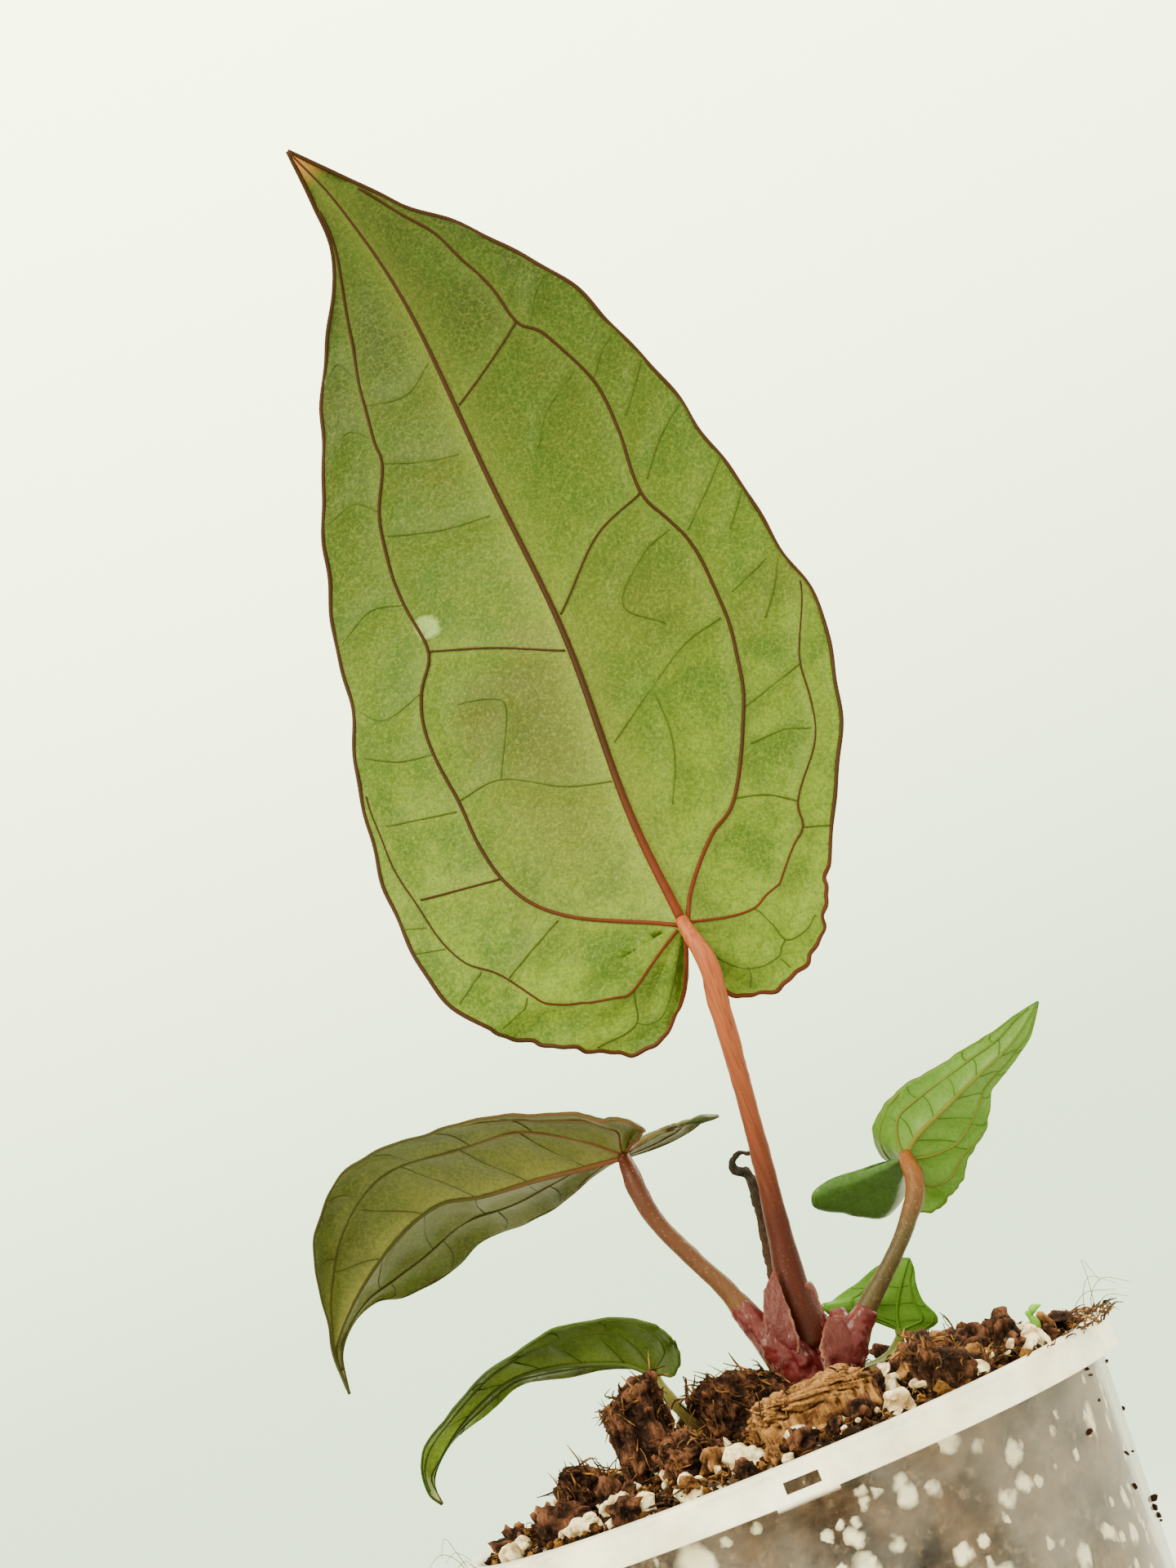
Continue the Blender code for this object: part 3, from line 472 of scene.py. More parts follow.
# Side veins, as (along, across) shares of their half of the blade. Below 0, along counts round the lobe.
bigLeafVeins = {
    "left": [
        ((0.4, 0.3, 0.26), [(0.0, 0.02), (0.07, 0.4), (0.14, 0.56), (0.24, 0.62), (0.32, 0.68), (0.37, 0.67),
                            (0.41, 0.59), (0.47, 0.63), (0.53, 0.66), (0.58, 0.65), (0.63, 0.58),
                            (0.66, 0.61), (0.73, 0.65), (0.8, 0.7), (0.86, 0.84), (0.93, 0.9)]),
        ((0.3, 0.2, 0.15), [(-0.3, 0.05), (-0.34, 0.51), (-0.25, 0.61), (-0.05, 0.72), (0.04, 0.75),
                            (0.08, 0.85), (0.14, 0.9), (0.19, 0.93), (0.23, 0.96), (0.29, 0.98)]),
        ((0.16,), [(0.25, 0.93), (0.23, 0.64)]), ((0.2,), [(0.16, 0.89), (0.14, 0.56)]),
        ((0.18,), [(0.04, 0.74), (0.07, 0.44)]), ((0.16,), [(-0.34, 0.51), (-0.45, 0.76), (-0.36, 0.97)]),
        ((0.14,), [(-0.45, 0.76), (-0.56, 0.77), (-0.6, 0.57), (-0.61, 0.2)]),
        ((0.12,), [(0.13, 0.91), (0.14, 1.0)]), ((0.12,), [(0.1, 0.88), (0.11, 0.99)]),
        ((0.12,), [(0.06, 0.81), (0.04, 0.97)]), ((0.12,), [(0.01, 0.76), (-0.03, 0.96)]),
        ((0.12,), [(0.63, 0.58), (0.61, 0.3), (0.6, 0.1)]),
        ((0.14,), [(0.55, 0.63), (0.53, 0.34), (0.52, 0.08)]),
        ((0.2,), [(0.41, 0.59), (0.38, 0.3), (0.34, 0.02)]),
        ((0.16,), [(0.24, 0.62), (0.24, 0.43), (0.2, 0.2), (0.18, 0.02)]),
        ((0.12,), [(0.34, 0.52), (0.33, 0.39), (0.31, 0.33), (0.24, 0.43)]),
        ((0.12,), [(0.58, 0.65), (0.6, 0.8), (0.59, 0.97)]),
        ((0.12,), [(0.47, 0.63), (0.48, 0.8), (0.46, 0.97)]),
        ((0.12,), [(0.37, 0.67), (0.36, 0.85), (0.38, 0.97)]),
        ((0.12,), [(0.3, 0.67), (0.31, 0.82), (0.33, 0.96)]),
        ((0.12,), [(0.66, 0.61), (0.68, 0.8), (0.66, 0.96)]),
        ((0.12,), [(0.73, 0.65), (0.76, 0.85), (0.75, 0.96)]),
        ((0.12,), [(0.7, 0.63), (0.69, 0.3), (0.71, 0.05)]),
    ],
    "right": [
        ((0.4, 0.3, 0.26), [(0.0, 0.03), (0.03, 0.12), (0.08, 0.32), (0.11, 0.47), (0.2, 0.59), (0.26, 0.62),
                            (0.34, 0.67), (0.39, 0.67), (0.42, 0.64), (0.46, 0.6), (0.53, 0.67), (0.59, 0.72),
                            (0.66, 0.67), (0.69, 0.59), (0.74, 0.65), (0.79, 0.69), (0.84, 0.78),
                            (0.92, 0.86)]),
        ((0.28, 0.2, 0.15), [(-0.15, 0.05), (-0.15, 0.29), (-0.11, 0.49), (-0.03, 0.59), (0.03, 0.75),
                             (0.05, 0.82), (0.08, 0.79), (0.13, 0.87), (0.18, 0.88), (0.22, 0.86),
                             (0.25, 0.89), (0.3, 0.98)]),
        ((0.18,), [(0.11, 0.47), (0.1, 0.63), (0.08, 0.79)]), ((0.14,), [(0.05, 0.82), (0.04, 0.99)]),
        ((0.14,), [(0.2, 0.6), (0.21, 0.73), (0.22, 0.86)]),
        ((0.14,), [(0.16, 0.59), (0.16, 0.74), (0.15, 0.86)]),
        ((0.14,), [(-0.11, 0.49), (-0.3, 0.76), (-0.19, 0.95)]),
        ((0.13,), [(-0.3, 0.76), (-0.45, 0.77), (-0.58, 0.55), (-0.61, 0.3)]),
        ((0.12,), [(-0.51, 0.67), (-0.59, 0.91)]), ((0.12,), [(-0.4, 0.81), (-0.42, 0.93)]),
        ((0.2,), [(0.65, 0.02), (0.67, 0.3), (0.69, 0.59)]),
        ((0.2,), [(0.38, 0.02), (0.44, 0.31), (0.46, 0.6)]),
        ((0.14,), [(0.3, 0.62), (0.29, 0.44), (0.26, 0.25), (0.22, 0.04)]),
        ((0.12,), [(0.26, 0.25), (0.21, 0.27), (0.17, 0.25), (0.13, 0.19)]),
        ((0.12,), [(0.41, 0.62), (0.4, 0.47), (0.36, 0.28), (0.32, 0.41)]),
        ((0.12,), [(0.71, 0.95), (0.7, 0.8), (0.68, 0.65)]),
        ((0.13,), [(0.62, 0.98), (0.61, 0.85), (0.59, 0.72)]), ((0.13,), [(0.58, 0.98), (0.54, 0.74)]),
        ((0.13,), [(0.52, 0.98), (0.5, 0.82), (0.47, 0.66)]), ((0.13,), [(0.45, 0.99), (0.4, 0.69)]),
        ((0.12,), [(0.41, 0.99), (0.38, 0.85)]), ((0.12,), [(0.34, 0.98), (0.32, 0.72)]),
        ((0.12,), [(0.33, 0.97), (0.28, 0.78)]), ((0.12,), [(0.61, 0.67), (0.59, 0.43), (0.56, 0.29)]),
        ((0.12,), [(0.79, 0.7), (0.81, 0.88), (0.79, 0.97)]),
    ],
}


def sideVeins(collective, crossings):
    # The same kinds of vein for a small leaf: one that loops inside the edge, and ties from the midrib to it
    loop = [(0.0, 0.04), (0.06, 0.35)] + [(along, collective) for along in (0.16, 0.3, 0.45, 0.6, 0.75)]
    half = [((0.26, 0.2, 0.15), loop + [(0.87, 0.8), (0.95, 0.9)])]
    half.append(((0.2, 0.12), [(-0.25, 0.06), (-0.3, 0.5), (-0.12, 0.72), (0.04, 0.82), (0.16, 0.9),
                               (0.26, 0.97)]))
    for number in range(crossings):
        along = 0.1 + 0.72 * number / crossings
        half.append(((0.12,), [(along, 0.02), (along + 0.05, 0.35), (along + 0.07, collective)]))
        half.append(((0.1,), [(along + 0.04, collective), (along + 0.05, 0.85), (along + 0.07, 0.97)]))
    return {"left": half, "right": half}


def bladeSurface(plan):
    # Where a point of the blade is, from its half, its share along it and its share across it
    midrib = smoothCurve(aboveRim(plan["midrib"]), 401)
    widest = np.array(plan["right"][len(plan["right"]) // 2], float) - plan["left"][len(plan["left"]) // 2]
    upper = np.cross(midrib[-1] - midrib[0], widest)
    upper /= np.linalg.norm(upper)
    halves = {}
    for side in ("left", "right"):
        edge = smoothCurve(aboveRim(plan[side]), 801)
        fan = np.nonzero((edge - edge[0]) @ (midrib[20] - midrib[0]) <= 0.0)[0][-1]
        halves[side] = (edge, fan, 1 if side == "right" else -1)

    def place(side, along, across):
        edge, fan, sign = halves[side]
        along, across = np.broadcast_arrays(np.asarray(along, float), np.asarray(across, float))
        behind = fan * (1 + along)
        ahead = fan + (len(edge) - 1 - fan) * along
        tip = readAt(edge, np.where(along < 0, behind, ahead))
        root = readAt(midrib, np.clip(along, 0, 1) * 400)
        reach = np.linalg.norm(tip - root, axis=-1)
        share = across[..., None]
        bow = 4 * share * (1 - share) * np.minimum(1, reach / 10)[..., None] * plan["camber"]
        point = root * (1 - share) + tip * share + bow * upper
        outward = (tip - root) / np.maximum(reach, 0.01)[..., None]
        ripple = plan["ripple"] * (0.6 * np.sin(along * 47 + sign) + 0.4 * np.sin(along * 83 + 2 * sign))
        wave = plan["wave"] * np.sin(along * 21 + 2 * sign)
        fade = (share**3) * np.minimum(1, reach / 8)[..., None] * np.clip((1 - along) * 8, 0, 1)[..., None]
        return point + outward * ripple[..., None] * fade + upper * wave[..., None] * fade

    def facing(side, along, across):
        # Unit normal on the upper side of the blade
        sign = halves[side][2]
        along = np.clip(along, -0.98, 0.98)
        across = np.clip(across, 0.05, 0.98)
        step = 0.01
        lengthwise = place(side, along + step, across) - place(side, along - step, across)
        crosswise = place(side, along, across + step) - place(side, along, across - step)
        normal = np.cross(lengthwise, crosswise) * sign
        return normal / np.maximum(np.linalg.norm(normal, axis=-1), 1e-9)[..., None]

    return midrib, place, facing


def veinRoutes(plan, veins, place, facing):
    # Each vein as its points, their normals and its radii. The midrib comes first
    routes = []
    along = np.linspace(0, 1, 90)
    normal = facing("right", along, along * 0 + 0.05) + facing("left", along, along * 0 + 0.05)
    normal /= np.linalg.norm(normal, axis=1)[:, None]
    routes.append((place("right", along, along * 0), normal, spread(plan["ribRadii"], 90)))
    for side, listed in veins.items():
        for radii, stops in listed:
            path = smoothCurve(stops, 10 * len(stops))
            share = path[:, 1].clip(0.0, 1.0)
            normal = facing(side, path[:, 0], share)
            routes.append((place(side, path[:, 0], share), normal, spread(radii, len(path))))
    return routes


def edgeRoutes(plan, place, facing):
    along = np.linspace(-0.97, 1, 320)
    ones = np.ones(len(along))
    return [(place(side, along, ones), facing(side, along, ones), ones * plan["edgeRadius"])
            for side in ("left", "right")]


bladeFinish = {  # in mm: how far each vein shapes or tints the blade, and the radii that tell the veins apart
    "puckerReach": 1.6, "midribTint": 2.2, "strongTint": 0.9, "tieTint": 0.6, "unevenness": 0.12,
    "strongVein": 0.15, "thinVein": 0.19,
}


def makeBlade(name, plan, veins, materials, veinMaterials):
    midrib, place, facing = bladeSurface(plan)
    routes = veinRoutes(plan, veins, place, facing)
    strong = np.vstack([points for points, normal,
                        radii in routes[1:] if radii[0] > bladeFinish["strongVein"]])
    fine = np.vstack([points for points, normal, radii in routes[1:]])
    halves = []
    for side in ("left", "right"):
        half, along, across = gridHalf(plan["rows"], plan["columns"])
        points = place(side, along, across)
        normals = facing(side, along, across)
        gap = distances(points, fine)
        toMidrib = distances(points, midrib[::4])
        fade = np.clip(toMidrib / 2, 0, 1)
        edgeFade = np.clip((1.02 - across) * 6, 0, 1)
        lift = plan["pucker"] * (1 - np.exp(-(gap / bladeFinish["puckerReach"])**2)) * fade * edgeFade
        lift += bladeFinish["unevenness"] * roughness3d(points, 6, 3) * fade
        setPoints(half, points + normals * lift[:, None])
        setValue(half, "midribNear", np.exp(-toMidrib / bladeFinish["midribTint"]))
        setValue(half, "veinNear", np.exp(-distances(points, strong) / bladeFinish["strongTint"]))
        setValue(half, "tieNear", np.exp(-gap / bladeFinish["tieTint"]))
        setValue(half, "along", along)
        setValue(half, "across", across)
        halves.append(half)
    blade = joined(name, halves)
    mergeDoubles(blade)
    middle = blade.data.vertices[len(blade.data.vertices) // 4]
    expected = facing("left", np.array([0.2]), np.array([0.5]))[0]
    if np.dot(middle.normal, expected) < 0:
        editWhole(blade, (bpy.ops.mesh.flip_normals, {}))
    for material in materials:
        blade.data.materials.append(material)
    solid = blade.modifiers.new("thickness", "SOLIDIFY")
    solid.thickness = plan["thickness"] * mm
    solid.offset = 0.0
    solid.material_offset = 1
    applyAll(blade)
    bpy.ops.object.shade_smooth()
    under = plan["thickness"] / 2
    raised = [(points - normal * (under + radii * 0.1)[:, None], radii * 0.8)
              for points, normal, radii in routes if radii[0] > bladeFinish["thinVein"]]
    thin = [(points - normal * (under - radii * 0.1)[:, None], radii * 0.72)
            for points, normal, radii in routes if radii[0] <= bladeFinish["thinVein"]]
    edge = [(points, radii) for points, normal, radii in edgeRoutes(plan, place, facing)]
    upperSide = [(points + normal * (under - radii * 0.25)[:, None], radii * 0.6)
                 for points, normal, radii in routes]
    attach(blade, "root")
    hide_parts(name + "_blade")
    handIn(strands(name + "_veins", raised + edge), "leaf", [veinMaterials[0]])
    handIn(strands(name + "_fine_veins", thin), "leaf", [veinMaterials[2]])
    handIn(strands(name + "_upper_veins", upperSide), "leaf", [veinMaterials[1]])
    print("made", name, len(blade.data.polygons), "faces")
    return blade


def leafMaterial(name, young, old, shade, halo, blotch, gloss, tip, fading):
    material, tree = startMaterial(name, Roughness=gloss, Specular_IOR_Level=0.12)
    place = objectPlace(tree)
    large = noiseAt(tree, place, 22, 2)
    middle = noiseAt(tree, place, 7, 4)
    colour = mixColour(tree, steps(tree, readValue(tree, "along"), [(0.0, 0.0), (0.75, 1.0)]), young, old)
    colour = mixColour(tree, steps(tree, middle, [(0.42, 0.0), (0.62, 1.0)]), colour, shade)
    colour = mixColour(tree, steps(tree, large, [(0.56, 0.0), (0.72, 0.75)]), colour, blotch)
    net = useGroup(tree, network, Size=3.4, Width=0.1)
    small = useGroup(tree, network, Size=1.1, Width=0.16)
    colour = mixColour(tree, times(tree, net["Line"], 0.4), colour, shade)
    colour = mixColour(tree, times(tree, small["Line"], 0.22), colour, halo)
    speck = useGroup(tree, speckle, Size=0.9, Share=0.12)["Mask"]
    colour = mixColour(tree, times(tree, speck, 0.3), colour, halo)
    colour = mixColour(tree, times(tree, readValue(tree, "veinNear"), 0.4), colour, halo)
    if name == "leaf_1_underside":
        for spot, radius, tint, strength in marks.values():
            away = put(tree, "VectorMath",
                       {0: objectPlace(tree), 1: tuple(aboveRim([spot])[0] * mm)},
                       operation="DISTANCE").outputs["Value"]
            away = calc(tree, "DIVIDE", away, 2 * radius * mm)
            wander = middle if radius > 5 else noiseAt(tree, place, 1.6, 4, 0.65)
            away = plus(tree, away, times(tree, wander, 0.4))
            soft = 0.5 if radius > 5 else 0.12
            cover = steps(tree, away, [(0.62 - soft, strength), (0.62 + soft * 0.4, 0.0)])
            colour = mixColour(tree, cover, colour, tint)
    colour = mixColour(tree, times(tree, readValue(tree, "midribNear"), 0.8), colour, halo)
    grain = noiseAt(tree, place, 0.45, 3, 0.7)
    colour = mixColour(tree, steps(tree, grain, [(0.36, 0.45), (0.52, 0.0)]), colour, shade)
    colour = mixColour(tree, steps(tree, grain, [(0.5, 0.0), (0.68, 0.45)]), colour, halo)
    colour = mixColour(tree, times(tree, readValue(tree, "tieNear"), 0.4), colour, shade)
    dim = steps(tree, readValue(tree, "along"), [(0.05, 0.9), (0.4, fading[0]), (0.8, fading[1])])
    colour = mixColour(tree, 1.0, colour, dim, "MULTIPLY")
    colour = mixColour(tree, steps(tree, readValue(tree, "along"), [(0.955, 0.0), (0.99, 1.0)]), colour, tip)
    if name.startswith("leaf_1"):
        rise = times(tree, net["Cell"], 0.6)
        rise = plus(tree, rise, times(tree, small["Cell"], 0.4))
        rise = plus(tree, rise, noiseAt(tree, place, 0.5, 3))
        return finished(material, colour, rise, 0.12, 0.6)
    return finished(material, colour, noiseAt(tree, place, 3.0, 2), 0.3, 0.6)


def veinMaterial(name, near, far, reach, junction):
    # Redder near the junction with the leaf stalk
    material, tree = startMaterial(name, Roughness=0.5, Specular_IOR_Level=0.1)
    place = put(tree, "TexCoord", {}).outputs["Object"]
    away = put(tree, "VectorMath", {0: place, 1: tuple(np.array(junction) * mm)},
               operation="DISTANCE")
    share = calc(tree, "DIVIDE", away.outputs["Value"], reach * mm, clamp=True)
    colour = mixColour(tree, share, near, far)
    grain = noiseAt(tree, objectPlace(tree), 1.2, 3)
    colour = mixColour(tree, times(tree, grain, 0.5), colour, tuple(0.45 * value for value in far))
    return finished(material, colour, grain, 0.05)


leafColours = {
    "leaf_1": {"young": (0.12, 0.19, 0.01), "old": (0.034, 0.058, 0.005), "shade": (0.042, 0.088, 0.006),
               "halo": (0.19, 0.24, 0.035), "blotch": (0.075, 0.078, 0.014), "gloss": 0.5,
               "tip": (0.42, 0.17, 0.04), "veins": ((0.13, 0.02, 0.006), (0.035, 0.013, 0.003))},
    "leaf_2": {"young": (0.068, 0.068, 0.01), "old": (0.04, 0.066, 0.007), "shade": (0.034, 0.045, 0.006),
               "halo": (0.12, 0.115, 0.026), "blotch": (0.085, 0.078, 0.016), "gloss": 0.42,
               "tip": (0.05, 0.03, 0.015), "veins": ((0.12, 0.035, 0.012), (0.033, 0.032, 0.005))},
    "leaf_3": {"young": (0.045, 0.085, 0.009), "old": (0.09, 0.15, 0.016), "shade": (0.02, 0.044, 0.004),
               "halo": (0.09, 0.12, 0.018), "blotch": (0.04, 0.05, 0.008), "gloss": 0.38,
               "tip": (0.25, 0.17, 0.07), "veins": ((0.06, 0.09, 0.012), (0.022, 0.04, 0.004))},
    "leaf_4": {"young": (0.075, 0.18, 0.014), "old": (0.074, 0.18, 0.016), "shade": (0.045, 0.12, 0.008),
               "halo": (0.12, 0.2, 0.04), "blotch": (0.05, 0.1, 0.01), "gloss": 0.42,
               "tip": (0.03, 0.09, 0.03), "veins": ((0.14, 0.12, 0.02), (0.055, 0.13, 0.01))},
    "leaf_5": {"young": (0.095, 0.23, 0.018), "old": (0.1, 0.25, 0.022), "shade": (0.07, 0.17, 0.013),
               "halo": (0.13, 0.26, 0.045), "blotch": (0.08, 0.17, 0.02), "gloss": 0.4,
               "tip": (0.05, 0.12, 0.01), "veins": ((0.1, 0.22, 0.02), (0.075, 0.18, 0.013))},
}
marks = {  # patches on the underside of leaf 1, as place above the rim, radius, colour and strength
    "blotch": ((-4.2, 6.5, 121.4), 2.2, (0.36, 0.5, 0.16), 0.7),
    "scar": ((-10.3, 7.5, 140.9), 0.75, (0.05, 0.004, 0.002), 1.0),
    "brown low": ((4.1, 3.0, 85.0), 14.0, (0.075, 0.07, 0.012), 0.6),
    "brown middle": ((5.4, 3.0, 100.7), 13.0, (0.05, 0.04, 0.008), 0.8),
    "brown right": ((26.2, 4.0, 112.7), 11.0, (0.07, 0.065, 0.011), 0.55),
}
for name, plan in leafPlans.items():
    shades = dict(leafColours[name])
    redder, browner = shades.pop("veins")
    fading = {"leaf_1": (0.82, 0.52), "leaf_3": (1.0, 1.9)}.get(name, (1.0, 1.0))
    under = leafMaterial(name + "_underside", **shades, fading=fading)
    above = {"leaf_4": (0.72, 0.68, 1.5), "leaf_5": (0.7, 0.7, 1.3)}.get(name, (0.45, 0.62, 0.9))
    upperShades = {key: tuple(value * share for value, share in zip(shades[key], above))
                   for key in ("young", "old", "shade", "halo", "blotch", "tip")}
    upper = leafMaterial(name + "_upperside", **upperShades, gloss=0.3, fading=(1.0, 1.0))
    junction = aboveRim(plan["midrib"][:1])[0]
    brown = veinMaterial(name + "_vein_brown", redder, browner, 28, junction)
    pale = veinMaterial(name + "_vein_pale", (0.1, 0.09, 0.02), (0.06, 0.1, 0.02), 40, junction)
    veins = bigLeafVeins if name == "leaf_1" else sideVeins(0.62, {"leaf_5": 3}.get(name, 5))
    dim = tuple(0.72 * value + 0.12 * brownValue for value, brownValue in zip(shades["shade"], redder))
    fine = veinMaterial(name + "_vein_fine", dim, dim, 40, junction)
    makeBlade(name, plan, veins, [upper, under], [brown, pale, fine])


# Leaf stalks, crown and bracts
def roughen(thing, size, amount, seed, octaves=3):
    # Moves each point along its normal by noise, and keeps how far in the attribute "relief"
    points = getPoints(thing)
    lift = roughness3d(points, size, seed, octaves)
    setPoints(thing, points + getNormals(thing) * (lift * amount)[:, None])
    setValue(thing, "relief", lift * 0.5 + 0.5)


def stemMaterial(name, low, high, fleck, heights, gloss=0.42, streak=0.5, fleckShare=0.25):
    # low and high are the colours at the two heights above the rim
    material, tree = startMaterial(name, Roughness=gloss, Specular_IOR_Level=0.14)
    colour = mixColour(tree, heightShare(tree, *heights), low, high)
    lines = useGroup(tree, fibres, Across=0.35, Along=9.0)["Streak"]
    dark = tuple(0.4 * value for value in low)
    colour = mixColour(tree, times(tree, steps(tree, lines, [(0.45, 0.0), (0.7, 1.0)]), streak),
                       colour, dark)
    spots = useGroup(tree, speckle, Size=0.42, Share=fleckShare)["Mask"]
    colour = mixColour(tree, times(tree, spots, 0.3), colour, fleck)
    return finished(material, colour, plus(tree, lines, times(tree, spots, 0.5)), 0.08, 0.8)


stalkPlans = {
    "leaf_1": {
        "route": [(13.5, -0.6, 67.4), (13.8, -1.6, 65.2), (14.4, -2.4, 62), (14.5, -2.4, 59), (14, -2, 56),
                  (12.9, -1.5, 46), (11.4, -1, 34.5), (9.8, -0.6, 24), (8.6, -0.5, 16.5), (8.3, -0.4, 9)],
        "radii": (0.9, 1.35, 1.5, 1.35, 1.25, 1.3, 1.45, 1.75, 2.35, 2.9),
        "low": (0.046, 0.007, 0.003), "high": (0.31, 0.08, 0.028), "fleck": (0.13, 0.05, 0.022),
        "heights": (26, 66),
    },
    "leaf_2": {
        "route": [(-5.6, -0.5, 41), (-5.5, -1.5, 39.2), (-5.4, -2.5, 36.5), (-4.9, -3, 32.5),
                  (-3.5, -3.1, 28.5), (-1.5, -3.1, 24.3), (0.4, -3.1, 20.4), (2.0, -3.1, 16), (3.6, -3, 11.5),
                  (5.2, -2.6, 7.5)],
        "radii": (0.9, 1.3, 1.25, 1.15, 1.15, 1.2, 1.35, 1.7, 2.4, 3.0),
        "low": (0.12, 0.055, 0.025), "high": (0.05, 0.01, 0.004), "fleck": (0.26, 0.17, 0.1),
        "heights": (14, 38),
    },
    "leaf_3": {
        "route": [(-12, -4.1, 13.7), (-11.9, -4.6, 11.8), (-11, -4.9, 9.3), (-9.5, -4.8, 6.3),
                  (-6.5, -3.7, 3), (-2, -2.2, 0), (1.4, -1.2, -2)],
        "radii": (0.6, 0.85, 0.85, 0.95, 1.0, 1.1, 1.1),
        "low": (0.2, 0.13, 0.045), "high": (0.12, 0.13, 0.02), "fleck": (0.28, 0.2, 0.1), "heights": (2, 13),
    },
    "leaf_4": {
        "route": [(29, -0.5, 27.4), (28.9, -1.6, 26.1), (28.9, -2.7, 24.3), (28, -3.1, 22), (26, -3.1, 19.5),
                  (23, -3.1, 16.4), (19.2, -3, 13.2), (16, -2.8, 10.6), (13.6, -2.6, 8.2), (11, -2.2, 5.5)],
        "radii": (0.9, 1.25, 1.25, 1.15, 1.1, 1.15, 1.25, 1.6, 2.2, 2.8),
        "low": (0.06, 0.042, 0.016), "high": (0.17, 0.055, 0.014), "fleck": (0.27, 0.2, 0.13),
        "heights": (18, 26),
    },
    "leaf_5": {
        "route": [(20, 18.9, 6.1), (19.8, 17.8, 5.2), (19, 15.5, 4.4), (17, 11.5, 3.4), (14.8, 7.8, 3.2),
                  (12.6, 4.5, 3.4), (10.5, 2.2, 3)],
        "radii": (0.5, 0.75, 0.8, 0.9, 1.0, 1.1, 1.3),
        "low": (0.12, 0.1, 0.03), "high": (0.1, 0.14, 0.02), "fleck": (0.22, 0.2, 0.08), "heights": (2, 6),
    },
}
for name, plan in stalkPlans.items():
    stalk = strands(name + "_stalk", [(smoothCurve(aboveRim(plan["route"]), 70), spread(plan["radii"], 70))],
                    6)
    roughen(stalk, 2.6, 0.1, 5)
    material = stemMaterial(name + "_stalk_skin", plan["low"], plan["high"], plan["fleck"], plan["heights"])
    handIn(stalk, "petiole", [material], name + "_petiole")


def crownMaterial():
    material, tree = startMaterial("crown_flesh", Roughness=0.3, Specular_IOR_Level=0.3)
    place = objectPlace(tree)
    patches = noiseAt(tree, place, 4.5, 3)
    colour = mixColour(tree, steps(tree, patches, [(0.38, 0.0), (0.62, 1.0)]), (0.07, 0.005, 0.007),
                       (0.11, 0.017, 0.016))
    lines = useGroup(tree, fibres, Across=0.5, Along=3.5)["Streak"]
    colour = mixColour(tree, steps(tree, lines, [(0.5, 0.0), (0.72, 0.8)]), colour, (0.04, 0.003, 0.005))
    # Pale pink flecks: painted highlights glinting on the glossy crown
    spots = useGroup(tree, speckle, Size=0.6, Share=0.18)["Mask"]
    colour = mixColour(tree, times(tree, spots, 0.45), colour, (0.2, 0.07, 0.055))
    return finished(material, colour, plus(tree, lines, times(tree, patches, 0.8)), 0.25, 0.8)


def makeCrown(material):
    # Swollen bases of the leaf stalks that clasp each other above a short bulb
    bases = [
        ([(1.2, -3.1, 17.6), (2.6, -3.3, 14), (4.0, -3.3, 10.6), (5.7, -2.7, 6.8), (7.2, -1.2, 3)],
         (1.45, 1.95, 2.6, 3.2, 3.4)),
        ([(16.6, -2.9, 11), (14.4, -3, 9.3), (12.4, -3, 7.6), (10.6, -2.4, 5.4), (8.6, -1.2, 3)],
         (1.6, 2.0, 2.7, 3.3, 3.4)),
        ([(9.3, -0.2, 17), (9.0, 0.1, 12.6), (8.6, 0.4, 8), (8, 0.2, 3)], (1.95, 2.5, 3.2, 3.6)),
        ([(13.0, -0.6, 12.2), (12.6, -1.4, 9.8), (11.4, -1.6, 7)], (1.15, 1.6, 2.2)),
        ([(6.4, -5.2, 13.2), (5.9, -5.1, 10.6), (6.3, -4.6, 7.5)], (0.5, 1.0, 1.5)),
    ]
    routes = [(smoothCurve(aboveRim(points), 24), spread(radii, 24)) for points, radii in bases]
    clasps = strands("clasps", routes, 5)
    deselectAll()
    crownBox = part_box("crown")
    middle = (Vector(crownBox[0]) + Vector(crownBox[1])) / 2
    bpy.ops.mesh.primitive_uv_sphere_add(segments=32, ring_count=20, radius=1,
                                         location=(middle.x, middle.y, (rimHeight + 2.5) * mm),
                                         scale=(5.6 * mm, 5.2 * mm, 5.4 * mm))
    bulb = bpy.context.object
    bpy.ops.object.transform_apply(location=True, rotation=True, scale=True)
    crown = joined("crown_flesh", [clasps, bulb])
    remesh = crown.modifiers.new("merge", "REMESH")
    remesh.mode = "VOXEL"
    remesh.voxel_size = 0.22 * mm
    smooth = crown.modifiers.new("soften", "SMOOTH")
    smooth.factor = 0.5
    smooth.iterations = 4
    applyAll(crown)
    bpy.ops.object.shade_smooth()
    roughen(crown, 2.2, 0.22, 11)
    handIn(crown, "crown", [material], "crown")


